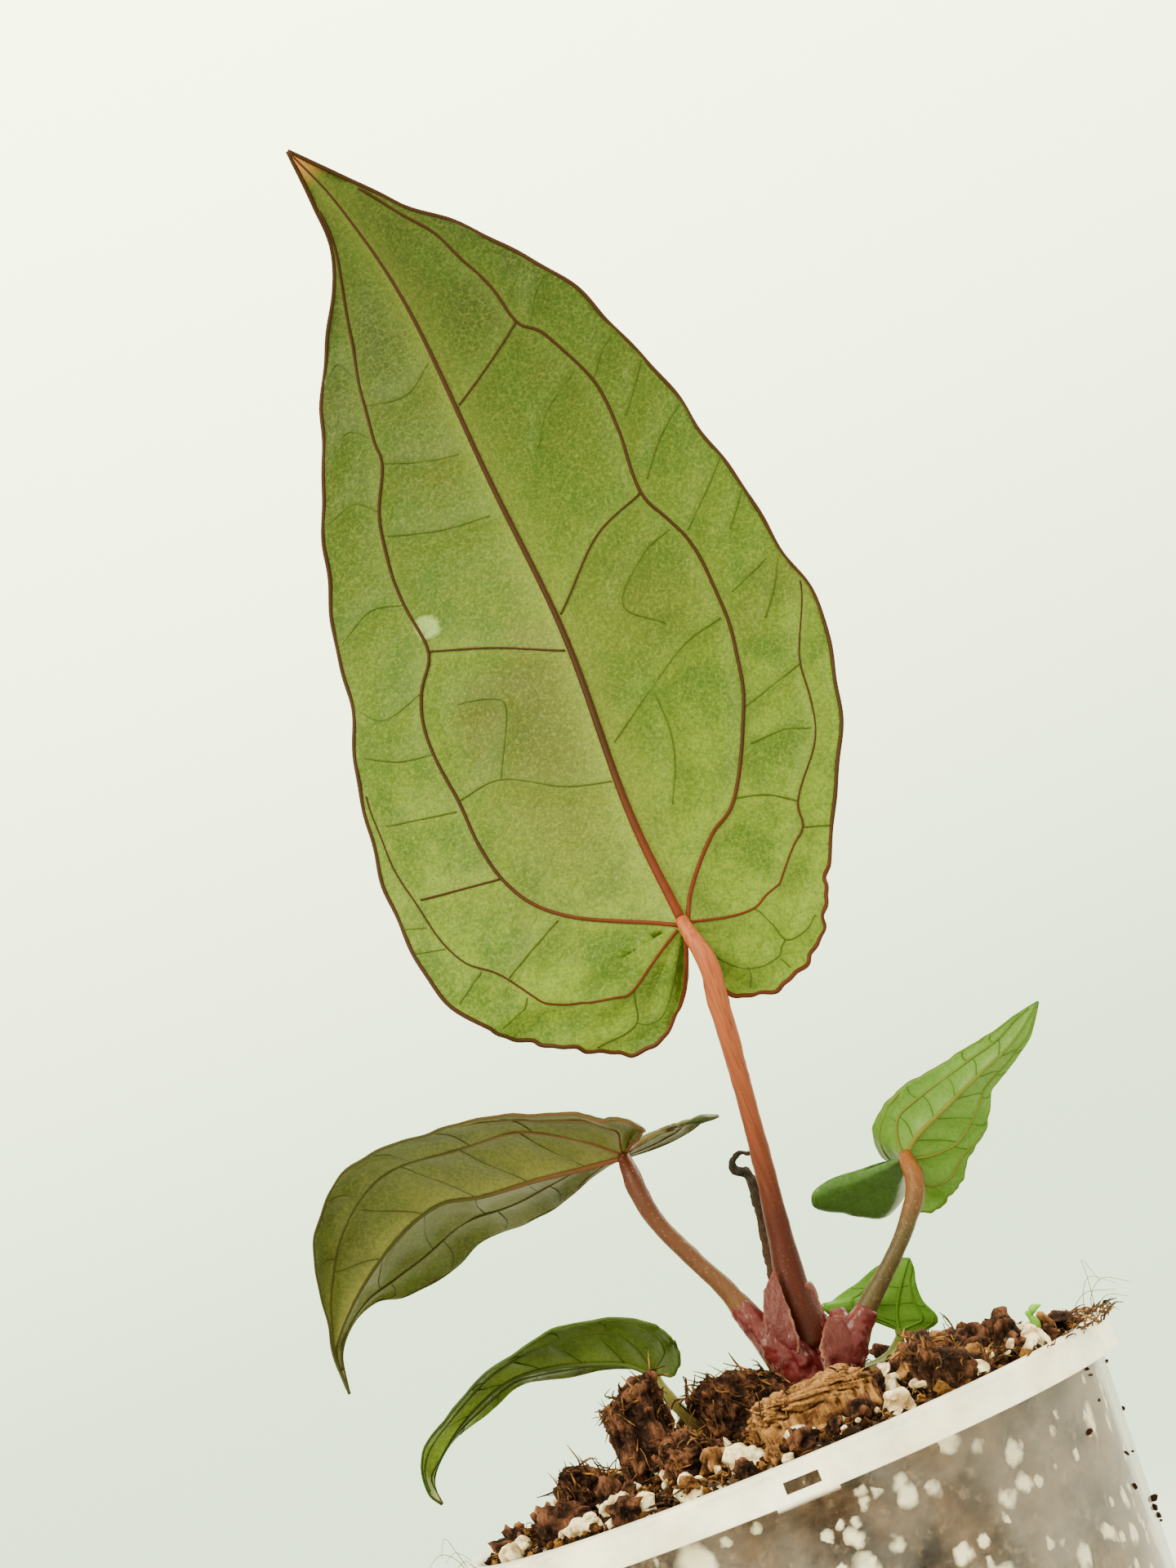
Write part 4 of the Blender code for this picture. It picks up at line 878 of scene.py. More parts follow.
bractPlans = {
    "sheath_left": {
        "midrib": [(4.5, -5.2, 9), (4.9, -5.5, 13), (6, -4.4, 17), (7.4, -2.9, 20)],
        "left": [(4.5, -5.2, 9), (3.3, -4.9, 10), (3.5, -5, 13.5), (4.9, -4, 17.5), (7.4, -2.9, 20)],
        "right": [(4.5, -5.2, 9), (6.5, -6.3, 9.5), (7.1, -5.8, 12.5), (7.2, -4.6, 16.5), (7.4, -2.9, 20)],
    },
    "sheath_right": {
        "midrib": [(12.8, -5, 5), (13.2, -5.3, 7.5), (12.7, -4.9, 10), (11.6, -3.8, 11.8)],
        "left": [(12.8, -5, 5), (9.8, -6.7, 5.5), (8.8, -6.8, 8), (10.2, -5.4, 10.5), (11.6, -3.8, 11.8)],
        "right": [(12.8, -5, 5), (14.4, -3.6, 5.5), (15, -3.9, 8), (13.8, -3.9, 10.6), (11.6, -3.8, 11.8)],
    },
    "sheath_back": {
        "midrib": [(8.8, 6.2, 6), (9.2, 6.6, 9), (9.4, 6, 12), (9.2, 4.4, 14.5)],
        "left": [(8.8, 6.2, 6), (6, 6, 7), (5.8, 6, 10), (7.4, 5.4, 12.6), (9.2, 4.4, 14.5)],
        "right": [(8.8, 6.2, 6), (11.6, 5.6, 7), (12, 5.6, 10), (11, 5.2, 12.8), (9.2, 4.4, 14.5)],
    },
}


def makeBract(name, plan, material):
    shape = {"rows": 40, "columns": 12, "camber": 0.0, "ripple": 0.5, "wave": 0.5, "jag": 0.55, **plan}
    place, facing = bladeSurface(shape)[1:]
    halves = []
    for side in ("left", "right"):
        half, along, across = gridHalf(shape["rows"], shape["columns"])
        points = place(side, along, across)
        jag = roughness3d(points, 1.0, 9) * shape["jag"] * across
        setPoints(half, points + facing(side, along, across) * jag[:, None])
        setValue(half, "across", across)
        setValue(half, "along", along)
        halves.append(half)
    bract = joined(name + "_skin", halves)
    mergeDoubles(bract)
    solid = bract.modifiers.new("thickness", "SOLIDIFY")
    solid.thickness = 0.3 * mm
    solid.offset = 0.0
    applyAll(bract)
    bpy.ops.object.shade_smooth()
    handIn(bract, "crown", [material], name)


def bractMaterial():
    material, tree = startMaterial("bract_skin", Roughness=0.4, Specular_IOR_Level=0.2)
    place = objectPlace(tree)
    colour = mixColour(tree, readValue(tree, "along"), (0.06, 0.005, 0.006), (0.09, 0.018, 0.016))
    lines = useGroup(tree, fibres, Across=0.3, Along=4.0)["Streak"]
    colour = mixColour(tree, steps(tree, lines, [(0.45, 0.0), (0.75, 0.8)]), colour, (0.05, 0.006, 0.006))
    pale = steps(tree, readValue(tree, "across"), [(0.86, 0.0), (1.0, 0.6)])
    colour = mixColour(tree, pale, colour, (0.24, 0.1, 0.07))
    return finished(material, colour, plus(tree, lines, noiseAt(tree, place, 0.8)), 0.15)


def makeOldStalk():
    route = [(6.2, 4.2, 12), (7, 4.4, 19.5), (7.6, 4.4, 24), (8.5, 4.4, 28.5), (9, 4.4, 31), (8.8, 4.4, 33),
             (7.5, 4.2, 34), (7.6, 3.9, 35.2), (8.8, 3.8, 35.8), (10.2, 4, 35.2)]
    radii = (1.0, 0.95, 0.9, 0.8, 0.5, 0.55, 0.75, 0.7, 0.5, 0.25)
    stalk = strands("old_stalk_skin", [(smoothCurve(aboveRim(route), 90), spread(radii, 90))], 6)
    roughen(stalk, 1.0, 0.22, 21)
    material, tree = startMaterial("withered_skin", Roughness=0.75, Specular_IOR_Level=0.1)
    colour = mixColour(tree, heightShare(tree, 18, 32), (0.05, 0.022, 0.012), (0.012, 0.01, 0.008))
    lines = useGroup(tree, fibres, Across=0.25, Along=2.5)["Streak"]
    colour = mixColour(tree, steps(tree, lines, [(0.5, 0.0), (0.8, 0.7)]), colour, (0.1, 0.055, 0.03))
    finished(material, colour, lines, 0.2)
    handIn(stalk, "withered", [material], "old_stalk")


flesh = crownMaterial()
makeCrown(flesh)
bractSkin = bractMaterial()
for name, plan in bractPlans.items():
    makeBract(name, plan, bractSkin)
makeOldStalk()


# Pot, in mm
potPlan = {
    "wall": 1.0, "baseRadius": 36.0, "collarDrop": 4.0, "collarWall": 0.8, "collarSpace": 1.2, "lip": 0.2,
    "segments": 180, "slotAngles": (-88, 32, 152), "slotWidth": 4.2, "slotHeight": 1.4, "slotRise": 0.9,
    "lugWidth": 7.5, "lugDrop": 0.6, "drainRadius": 3.0, "drainRing": 23.0, "drainCount": 6,
}
collarRadius = rimRadius - potPlan["lip"]
skirtRadius = collarRadius - potPlan["collarWall"]
wallTop = skirtRadius - potPlan["collarSpace"]


def innerRadius(height):
    top, foot = wallTop - potPlan["wall"], potPlan["baseRadius"] - potPlan["wall"]
    return foot + (top - foot) * height / rimHeight


def cutWith(target, cutter, way="DIFFERENCE"):
    change = target.modifiers.new("cut", "BOOLEAN")
    change.operation = way
    change.object = cutter
    applyAll(target)
    bpy.data.objects.remove(cutter)


def boxAt(size, place, angle):
    deselectAll()
    bpy.ops.mesh.primitive_cube_add(size=1, location=Vector(place) * mm, scale=Vector(size) * mm)
    box = bpy.context.object
    bpy.ops.object.transform_apply(location=True, scale=True)
    box.data.transform(Matrix.Rotation(math.radians(angle), 4, "Z"))
    return box


def makePot(material):
    low = rimHeight - potPlan["collarDrop"]
    wall, base = potPlan["wall"], potPlan["baseRadius"]
    profile = [
        (base - 1.0, 0.0), (base - 0.3, 0.3), (base, 1.0), (wallTop - 0.4, rimHeight - 4.0),
        (wallTop - 0.2, rimHeight - 2.0), (wallTop, rimHeight - wall), (skirtRadius, rimHeight - wall),
        (skirtRadius, low), (skirtRadius + 0.15, low - 0.1), (rimRadius - 0.1, low - 0.1), (rimRadius, low),
        (rimRadius, low + 0.4), (collarRadius, low + 0.7), (collarRadius, rimHeight - 0.6),
        (collarRadius - 0.2, rimHeight - 0.15), (collarRadius - 0.6, rimHeight),
        (innerRadius(rimHeight) + 0.3, rimHeight), (innerRadius(rimHeight), rimHeight - 0.3),
        (innerRadius(rimHeight - 2), rimHeight - 2), (innerRadius(wall * 2), wall * 2),
        (innerRadius(0) - 1, wall), (0.0, wall),
    ]
    pot = turned("pot_shell", profile, potPlan["segments"])
    mergeDoubles(pot)
    closeHoles(pot)
    mergeDoubles(pot)
    middle = collarRadius - potPlan["collarWall"] / 2
    for angle in potPlan["slotAngles"]:
        lug = (potPlan["collarWall"] * 0.9, potPlan["lugWidth"], potPlan["lugDrop"] * 2)
        cutWith(pot, boxAt(lug, (middle, 0, low), angle), "UNION")
        slot = (potPlan["collarWall"] * 2.2, potPlan["slotWidth"], potPlan["slotHeight"])
        rise = low + potPlan["slotRise"] + potPlan["slotHeight"] / 2
        cutWith(pot, boxAt(slot, (middle, 0, rise), angle))
    for number in range(1, potPlan["drainCount"] + 1):
        turn = 2 * math.pi * number / potPlan["drainCount"]
        deselectAll()
        spot = Vector((math.cos(turn), math.sin(turn), 0)) * potPlan["drainRing"] * mm
        bpy.ops.mesh.primitive_cylinder_add(vertices=24, radius=potPlan["drainRadius"] * mm, depth=4 * mm,
                                            location=spot)
        hole = bpy.context.object
        bpy.ops.object.transform_apply(location=True)
        cutWith(pot, hole)
    pick(pot)
    bpy.ops.object.shade_smooth_by_angle(angle=math.radians(35))
    height = getPoints(pot)[:, 2]
    out = np.hypot(*getPoints(pot)[:, :2].T)
    collar = np.clip((height - low + 0.6) / 0.5, 0, 1) * np.clip((out - wallTop - 0.4) / 0.5, 0, 1)
    setValue(pot, "collar", np.maximum(collar, np.clip((height - rimHeight + 1.2) / 0.4, 0, 1)))
    handIn(pot, "pot_plastic", [material], "pot")


def plasticMaterial():
    material, tree = startMaterial("frosted_plastic", Roughness=0.3, Specular_IOR_Level=0.35)
    place = objectPlace(tree)
    cloud = noiseAt(tree, place, 14, 4, 0.6)
    collar = readValue(tree, "collar")
    hazy = steps(tree, cloud, [(0.4, 0.0), (0.66, 0.12)])
    # Whiter haze towards +X: painted light on that side of the wall
    sideways = put(tree, "SeparateXYZ", {"Vector": place}).outputs["X"]
    hazy = plus(tree, hazy, steps(tree, times(tree, sideways, 20.0),
                                         [(0.1, 0.0), (0.9, 0.1)]))
    facing = put(tree, "LayerWeight", {"Blend": 0.35}).outputs["Facing"]
    hazy = plus(tree, hazy, times(tree, calc(tree, "POWER", facing, 2.6), 0.55))
    scuffs = noiseAt(tree, objectPlace(tree, (1, 1, 5)), 3, 5, 0.7)
    hazy = plus(tree, hazy, times(tree, steps(tree, scuffs, [(0.5, 0.0), (0.75, 1.0)]),
                                        0.06))
    band = steps(tree, noiseAt(tree, place, 9, 4, 0.6), [(0.36, 0.5), (0.64, 0.95)])
    cover = plus(tree, times(tree, calc(tree, "SUBTRACT", 1.0, collar), hazy),
                 times(tree, collar, band), clamp=True)
    dull = mixColour(tree, cloud, (0.36, 0.33, 0.31), (0.5, 0.46, 0.43))
    patchy = steps(tree, noiseAt(tree, place, 7, 4, 0.6), [(0.4, 0.0), (0.62, 1.0)])
    lit = mixColour(tree, patchy, (0.96, 0.88, 0.7), (0.97, 0.96, 0.86))
    rough = plus(tree, times(tree, scuffs, 0.3), 0.15)
    height = plus(tree, cloud, times(tree, scuffs, 0.3))
    return finished(material, mixColour(tree, collar, dull, lit), height, 0.2, 0.4, Alpha=cover,
                    Roughness=rough)


makePot(plasticMaterial())


# Potting mix, husk, bark and perlite
mixPlan = {
    "edgeDrop": 1.2, "mound": 4.5, "gap": 0.3, "segments": 220, "rings": 64,
    "crumbs": 3600, "lumps": 60, "flakes": 26, "bits": 110, "matted": 170, "loose": 800,
}


def mound(x, y):
    edge = rimHeight - mixPlan["edgeDrop"]
    far = np.minimum(np.hypot(x, y) / innerRadius(edge), 1)
    return edge + mixPlan["mound"] * (1 - far**2)


def mixMaterial():
    # Seen through the side of the pot: damp coir with pale grains of perlite pressed against the wall
    material, tree = startMaterial("damp_mix", Roughness=0.85, Specular_IOR_Level=0.1)
    place = objectPlace(tree)
    clumps = noiseAt(tree, place, 9, 6, 0.7)
    colour = mixColour(tree, steps(tree, clumps, [(0.38, 0.0), (0.64, 1.0)]), (0.01, 0.006, 0.004),
                       (0.13, 0.08, 0.05))
    tufts = noiseAt(tree, objectPlace(tree, location=(0.05, 0, 0)), 2.0, 4, 0.7)
    colour = mixColour(tree, steps(tree, tufts, [(0.55, 0.0), (0.7, 0.7)]), colour, (0.2, 0.14, 0.09))
    for size, share, seed, strength in ((6.0, 0.22, 0.3, 0.95), (3.4, 0.2, 0.8, 0.95), (1.8, 0.14, 0.5, 0.8)):
        grains = useGroup(tree, speckle, Size=size, Share=share, Seed=seed)["Mask"]
        grains = times(tree, grains, plus(tree, tufts, 0.5))
        grains = steps(tree, grains, [(0.05, 0.0), (0.5, strength)])
        colour = mixColour(tree, grains, colour, (0.92, 0.84, 0.62))
    return finished(material, colour, plus(tree, clumps, tufts), 1.0, 0.8)


def makeMix(material):
    floor = 1.3
    edge = rimHeight - mixPlan["edgeDrop"]
    outer = innerRadius(edge) - mixPlan["gap"]
    profile = [(innerRadius(floor) - 2, floor), (innerRadius(2.2) - mixPlan["gap"], 2.2)]
    profile += [(innerRadius(height) - mixPlan["gap"], height) for height in np.linspace(10, edge, 24)]
    profile += [(outer * (1 - ring / mixPlan["rings"]), edge) for ring in range(1, mixPlan["rings"])]
    profile.append((0.0, edge))
    mix = turned("mix_body", profile, mixPlan["segments"])
    closeHoles(mix)
    mergeDoubles(mix)
    points = getPoints(mix)
    out = np.hypot(points[:, 0], points[:, 1])
    top = (points[:, 2] > edge - 0.01) & (out < outer - 0.01)
    lumps = roughness3d(points, 5, 2, 4)
    points[top, 2] = mound(points[top, 0], points[top, 1]) + lumps[top] * 0.9 - 0.5
    side = ~top & (points[:, 2] > 3)
    inward = np.clip(lumps[side], -0.2, 1) * 0.5 + 0.1
    points[side, :2] *= (1 - inward / out[side])[:, None]
    setPoints(mix, points)
    pick(mix)
    bpy.ops.object.shade_smooth()
    handIn(mix, "potting_mix", [material], "potting_mix")


def blob(name, box, seed, plan, lift):
    # A lump that fills a box: blocky squares it off, lean slopes its top down to +X, dent hollows one side
    deselectAll()
    bpy.ops.mesh.primitive_ico_sphere_add(subdivisions=plan["detail"], radius=mm)
    made = bpy.context.object
    made.name = name
    low, high = (np.array(corner) / mm for corner in box)
    way = getPoints(made)
    way /= np.linalg.norm(way, axis=1)[:, None]
    square = np.sign(way) * np.abs(way)**plan["blocky"]
    turn = np.array(Matrix.Rotation(math.radians(plan["turn"]), 3, "Z"))
    square = square @ turn.T
    square *= 1 + plan["swell"] * roughness3d(way, 1.1, seed, 2)[:, None]
    square /= np.abs(square).max(axis=0)
    square[:, 2] = (square[:, 2] + 1) * (1 - plan["lean"] * (square[:, 0] + 1) / 2) - 1
    if "dent" in plan:
        inside = np.clip((way @ np.array(Vector(plan["dent"]).normalized()) - 0.72) / 0.28, 0, 1)
        square *= 1 - 0.55 * inside[:, None]
    points = (low + high) / 2 + square * (high - low) / 2
    setPoints(made, points)
    relief = lift(points, seed)
    setPoints(made, points + getNormals(made) * relief[:, None])
    span = max(relief.max() - relief.min(), 1e-6)
    setValue(made, "relief", (relief - relief.min()) / span)
    pick(made)
    bpy.ops.object.shade_smooth()
    return made


def grainOf(seed):
    # The way that the fibres of a lump run
    turn = Matrix.Rotation(seed * 1.9, 3, "Z") @ Matrix.Rotation(0.9 + 0.4 * math.sin(seed), 3, "Y")
    return np.array(turn)


def huskSkin(points, seed):
    # Matted fibres: ridges that run one way, with deep gaps between clumps
    ridges = roughness3d((points @ grainOf(seed)) * (0.3, 1.8, 1.8), 1.0, seed, 3)
    clumps = roughness3d(points, 2.2, seed + 4, 4)
    return 0.75 * clumps + 0.4 * ridges


def barkSkin(points, seed):
    turn = np.array(Matrix.Rotation(math.radians(-8), 3, "Z") @ Matrix.Rotation(math.radians(12), 3, "Y"))
    along = points @ turn
    layers = roughness3d(along * (0.14, 0.8, 2.2), 0.9, seed, 4)
    cracks = np.abs(roughness3d(along * (0.4, 1, 1.4), 1.7, seed + 2, 3))
    return 0.5 * layers - 0.8 * np.exp(-(cracks / 0.1)**2)


def popped(points, seed):
    # Rounded lobes that meet in creases
    size = np.ptp(points[:, 0]) * 0.5
    shift = Vector((seed, seed * 2.0, 0))
    near = np.array([noise.voronoi(Vector(point) / size + shift)[0][0] for point in points])
    return (0.45 - near) * size * 0.45 + 0.12 * roughness3d(points, 0.9, seed, 3)


def lumpMaterial(name, hollowShade, middle, high, across, along, bump, gloss=0.85):
    material, tree = startMaterial(name, Roughness=gloss, Specular_IOR_Level=0.06)
    place = objectPlace(tree)
    # Colour by height of the relief: painted shade, darkest down in the hollows, lightest on the ridges
    colour = steps(tree, readValue(tree, "relief"), [(0.3, hollowShade), (0.55, middle), (0.8, high)])
    lines = useGroup(tree, fibres, Across=across, Along=along)["Streak"]
    # Painted shade in the gaps between the fibre streaks
    colour = mixColour(tree, steps(tree, lines, [(0.35, 0.7), (0.55, 0.0)]), colour, hollowShade)
    grain = noiseAt(tree, place, 0.9, 4, 0.7)
    colour = mixColour(tree, steps(tree, grain, [(0.52, 0.0), (0.72, 0.6)]), colour, high)
    return finished(material, colour, plus(tree, lines, grain), bump)


husk = lumpMaterial("coir_husk", (0.004, 0.002, 0.0015), (0.024, 0.01, 0.006), (0.14, 0.056, 0.03), 0.3, 2.5,
                    0.35)
bark = lumpMaterial("tan_bark", (0.022, 0.008, 0.003), (0.15, 0.062, 0.02), (0.38, 0.19, 0.068), 0.4, 3.5,
                    0.35)
perlite = lumpMaterial("perlite_grain", (0.3, 0.19, 0.09), (0.72, 0.62, 0.4), (0.86, 0.79, 0.57), 0.5, 0.6,
                       0.12, 0.7)
makeMix(mixMaterial())


lumpPlans = {
    "husk_chunk": {"detail": 6, "blocky": 0.7, "swell": 0.35, "lean": 0.1},
    "husk_chunk_2": {"dent": (0.75, -0.6, -0.1), "lean": -0.15, "blocky": 0.6, "swell": 0.2},
    "husk_chunk_3": {"lean": 0.55, "blocky": 0.5, "swell": 0.15},
    "bark": {"detail": 6, "blocky": 0.45, "swell": 0.3, "lean": 0.0},
    "bark_slab": {"lean": -0.12},
    "perlite": {"detail": 5, "blocky": 0.85, "swell": 0.3, "lean": 0.0},
}
lumpKinds = {
    "husk_chunk": (huskSkin, "coir_husk", husk), "bark": (barkSkin, "bark", bark),
    "perlite": (popped, "perlite", perlite),
}


def seedOf(name):
    return sum(ord(letter) for letter in name) % 17 + 1.0


def makeChunks():
    for node in sorted(frame["nodes"]):
        seed = seedOf(node)
        for kind, (skin, slotName, material) in lumpKinds.items():
            if node.startswith(kind):
                turn = 30 * seed if kind == "perlite" else 8
                plan = {"turn": turn} | lumpPlans[kind] | lumpPlans.get(node, {})
                piece = blob(node + "_lump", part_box(node), seed, plan, skin)
                handIn(piece, slotName, [material], node)


def crumbMaterial():
    material, tree = startMaterial("coir_crumbs", Roughness=0.9, Specular_IOR_Level=0.05)
    tint = readValue(tree, "tint")
    colour = steps(tree, tint, [(0.0, (0.006, 0.003, 0.002)), (0.45, (0.03, 0.011, 0.004)),
                                (0.75, (0.09, 0.036, 0.01)), (1.0, (0.32, 0.15, 0.035))])
    grain = noiseAt(tree, objectPlace(tree), 0.4, 4, 0.7)
    colour = mixColour(tree, steps(tree, grain, [(0.4, 0.6), (0.6, 0.0)]), colour, (0.006, 0.003, 0.001))
    return finished(material, colour, grain, 0.2)


def scatter(name, spots, seed, subdivisions, rough, smooth):
    # Copies one small lump to each (place, size, tint), each turned and stretched its own way
    deselectAll()
    bpy.ops.mesh.primitive_ico_sphere_add(subdivisions=subdivisions, radius=mm)
    pattern = bpy.context.object
    shape = getPoints(pattern)
    faces = np.array([list(face.vertices) for face in pattern.data.polygons])
    bpy.data.objects.remove(pattern)
    picker = np.random.default_rng(seed)
    points, corners, tints, reliefs = [], [], [], []
    for number, (place, size, tint) in enumerate(spots):
        bumps = rough * roughness3d(shape, 0.8, number % 60 + seed, 3)
        turn = np.linalg.qr(picker.normal(size=(3, 3)))[0]
        stretch = size / 2 * picker.uniform(0.45, 1.35, 3)
        points.append((shape * (1 + bumps)[:, None] * stretch) @ turn + place)
        corners.append(faces + number * len(shape))
        tints.append(np.full(len(shape), tint))
        reliefs.append(0.5 + bumps / rough * 0.6)
    mesh = bpy.data.meshes.new(name)
    mesh.from_pydata((np.vstack(points) * mm).tolist(), [], np.vstack(corners).tolist())
    made = bpy.data.objects.new(name, mesh)
    bpy.context.scene.collection.objects.link(made)
    setValue(made, "tint", np.concatenate(tints))
    setValue(made, "relief", np.concatenate(reliefs))
    pick(made)
    if smooth:
        bpy.ops.object.shade_smooth()
    else:
        bpy.ops.object.shade_flat()
    return made


def onMix(picker, inner, outer, spread=(0, 360)):
    out = outer * math.sqrt(picker.uniform((inner / outer)**2, 1.0))
    turn = math.radians(picker.uniform(*spread))
    x, y = out * math.cos(turn), out * math.sin(turn)
    return np.array((x, y, mound(x, y)))


def makeCrumbs():
    picker = np.random.default_rng(3)
    room = innerRadius(rimHeight) - 1.0
    up = np.array((0, 0, 1.0))
    spots = []
    for number in range(mixPlan["crumbs"]):
        place = onMix(picker, 0, room)
        size = picker.uniform(0.5, 1.0) * picker.choice((0.8, 1.2, 2.0), p=(0.5, 0.35, 0.15))
        tan = picker.uniform(0, 1)**1.5
        spots.append((place + up * picker.uniform(-0.2, 0.9), size, tan))
    handIn(scatter("coir_crumbs", spots, 5, 1, 0.5, False), "coir_husk", [crumbMaterial()])
    for name, slotName, material, count, sizes in (
            ("coir_lumps", "coir_husk", husk, mixPlan["lumps"], (1.8, 4.4)),
            ("bark_lumps", "bark", bark, mixPlan["flakes"], (1.4, 3.6)),
            ("perlite_bits", "perlite", perlite, mixPlan["bits"], (0.7, 2.4))):
        spots = []
        for number in range(count):
            place = onMix(picker, 20, room - 1, (180, 380)) if number % 3 else onMix(picker, 0, room - 1)
            size = picker.uniform(*sizes)
            spots.append((place + up * (0.5 + size * 0.25), size, 0.5))
        rough = 0.35 if slotName == "perlite" else 0.7
        handIn(scatter(name, spots, count, 3 if slotName != "perlite" else 2, rough, True), slotName,
               [material])


def fibreMaterial():
    material, tree = startMaterial("loose_fibres", Roughness=0.7, Specular_IOR_Level=0.1)
    place = objectPlace(tree)
    colour = steps(tree, noiseAt(tree, place, 2, 3),
                   [(0.38, (0.012, 0.005, 0.002)), (0.52, (0.07, 0.028, 0.008)),
                                                      (0.66, (0.26, 0.12, 0.03))])
    return finished(material, colour)


def fibreRoute(start, away, along, length, rise, picker):
    along = along - away * along.dot(away)
    along /= np.linalg.norm(along)
    side = np.cross(away, along) * picker.normal() * 0.25 * length
    stops = [start - away * 0.25, start + away * rise * 0.5 + along * length * 0.3 + side * 0.4,
             start + away * rise * picker.uniform(0.3, 1.2) + along * length * 0.65 + side,
             start + away * rise * picker.uniform(-0.5, 1.5) + along * length + side * picker.uniform(0, 2)]
    return smoothCurve(stops, 7), spread((0.12, 0.11, 0.05), 7) * picker.uniform(0.6, 1.5)


def makeFibreStrands():
    # Fibres matted on the husk and bark, and loose ones on the mix
    picker = np.random.default_rng(12)
    routes = []
    for host in [thing for thing in bpy.data.objects if thing.name.endswith("_lump")]:
        if host.name.startswith("perlite"):
            continue  # perlite holds no fibres
        points, normals = getPoints(host), getNormals(host)
        grain = grainOf(seedOf(host.name))[:, 0] if "husk" in host.name else np.array((0.97, 0.1, 0.2))
        area = np.ptp(points, axis=0).sum() / 28
        for number in range(int(mixPlan["matted"] * area * (1.0 if "husk" in host.name else 0.4))):
            chosen = int(picker.integers(len(points)))
            if normals[chosen][2] < -0.35:
                continue
            along = grain * picker.choice((-1, 1)) + picker.normal(size=3) * 0.45
            rise = picker.choice((0.1, 0.25, 0.6), p=(0.55, 0.4, 0.05))
            routes.append(fibreRoute(points[chosen], normals[chosen], along, picker.uniform(1.2, 3.6), rise,
                                     picker))
    for number in range(mixPlan["loose"]):
        start = onMix(picker, 0, innerRadius(rimHeight) - 2.5) + (0, 0, 0.5)
        along = np.array((*picker.normal(size=2), 0))
        rise = picker.choice((0.2, 0.5, 1.6), p=(0.5, 0.42, 0.08))
        routes.append(fibreRoute(start, np.array((0, 0, 1.0)), along, picker.uniform(1.0, 3.4), rise, picker))
    handIn(strands("coir_strands", routes, 0), "coir_husk", [fibreMaterial()])


def makeSeedling():
    stem = [(34.6, -13.0, 0.2), (35.0, -13.4, 2.0), (34.4, -13.8, 3.8)]
    tipLeaf = [(34.6, -13.6, 3.0), (35.4, -14.0, 3.8), (36.4, -14.2, 3.9)]
    routes = [(smoothCurve(aboveRim(stem), 12), spread((0.45, 0.6, 0.2), 12)),
              (smoothCurve(aboveRim(tipLeaf), 10), spread((0.2, 0.55, 0.1), 10))]
    shoot = strands("green_shoot", routes, 4)
    roughen(shoot, 0.8, 0.08, 6)
    material = stemMaterial("shoot_skin", (0.12, 0.22, 0.02), (0.16, 0.4, 0.03), (0.3, 0.5, 0.1), (0, 4))
    handIn(shoot, "shoot", [material], "seedling")


def makeDirt():
    # Specks of mix stuck to the outside of the pot, as turn, depth below the rim and size
    specks = [(-10, 4.7, 0.9), (-10, 5.9, 0.5), (-27, 4.8, 0.7), (-26, 5.7, 0.5), (-26, 8.8, 0.4),
              (-6, 12.2, 0.5), (-34, 11.2, 0.9), (-21, 16.1, 0.7), (-16, 16.6, 0.6), (-23, 19.8, 0.8),
              (-11, 23.1, 1.2), (-13, 24.0, 0.8), (-11, 25.2, 0.7), (-6, 26.4, 0.6), (70, 12, 0.8),
              (140, 20, 0.7), (200, 9, 0.6), (245, 31, 0.5), (290, 40, 0.6), (330, 52, 0.8), (95, 34, 0.9),
              (25, 17, 0.6)]
    spots = []
    for turn, depth, size in specks:
        height = rimHeight - depth
        out = innerRadius(height) + potPlan["wall"] + size * 0.1
        angle = math.radians(turn)
        spots.append((np.array((out * math.cos(angle), out * math.sin(angle), height)), size, 0.3))
    handIn(scatter("dirt_specks", spots, 31, 2, 0.5, False), "coir_husk", [crumbMaterial()])


def makeRimHairs():
    # Tufts of dry fibre caught on the right of the rim, and a few long hairs round it
    picker = np.random.default_rng(21)
    tan, hairs = [], []
    for number in range(150):
        turn = math.radians(picker.normal(-4, 17))
        out = rimRadius - abs(picker.normal(1.5, 2.6))
        start = np.array((out * math.cos(turn), out * math.sin(turn), rimHeight - 0.4))
        along = np.array((*picker.normal(size=2), 0))
        tan.append(fibreRoute(start, np.array((0, 0, 1.0)), along, picker.uniform(0.8, 3.4), 0.8, picker))
    for turn, rise, length in ((-3, 7.0, 2.0), (2, 3.5, 6.0), (-12, 2.0, 5.0), (8, 4.0, 5.0), (-30, 2.2, 4.0),
                               (183, 4.5, 3.0), (188, 3.0, 5.0), (176, 2.0, 4.0), (205, 2.0, 3.0),
                               (14, 2.0, 6.0)):
        angle = math.radians(turn)
        way = np.array((math.cos(angle), math.sin(angle), 0))
        start = way * (rimRadius - 1.5) + (0, 0, rimHeight - 0.3)
        stops = [start, start + way * 0.8 + (0, 0, rise * 0.6), start + way * length * 0.5 + (0, 0, rise),
                 start + way * length + np.cross(way, (0, 0, 1)) * 2 + (0, 0, rise * 0.5)]
        hairs.append((smoothCurve(stops, 16), spread((0.05, 0.03), 16)))
    handIn(strands("rim_tufts", tan, 0), "coir_husk", [fibreMaterial()])
    handIn(strands("rim_hairs", hairs, 0), "coir_husk", [fibreMaterial()])


def finishRoots():
    material = stemMaterial("root_skin", (0.4, 0.3, 0.16), (0.5, 0.42, 0.28), (0.2, 0.13, 0.06), (-40, 8),
                            0.7)
    for node in sorted(frame["nodes"]):
        if node.startswith("root_"):
            bpy.data.objects[node].data.materials.clear()
            bpy.data.objects[node].data.materials.append(material)


makeChunks()
makeCrumbs()
makeFibreStrands()
makeDirt()
makeRimHairs()
makeSeedling()
finishRoots()


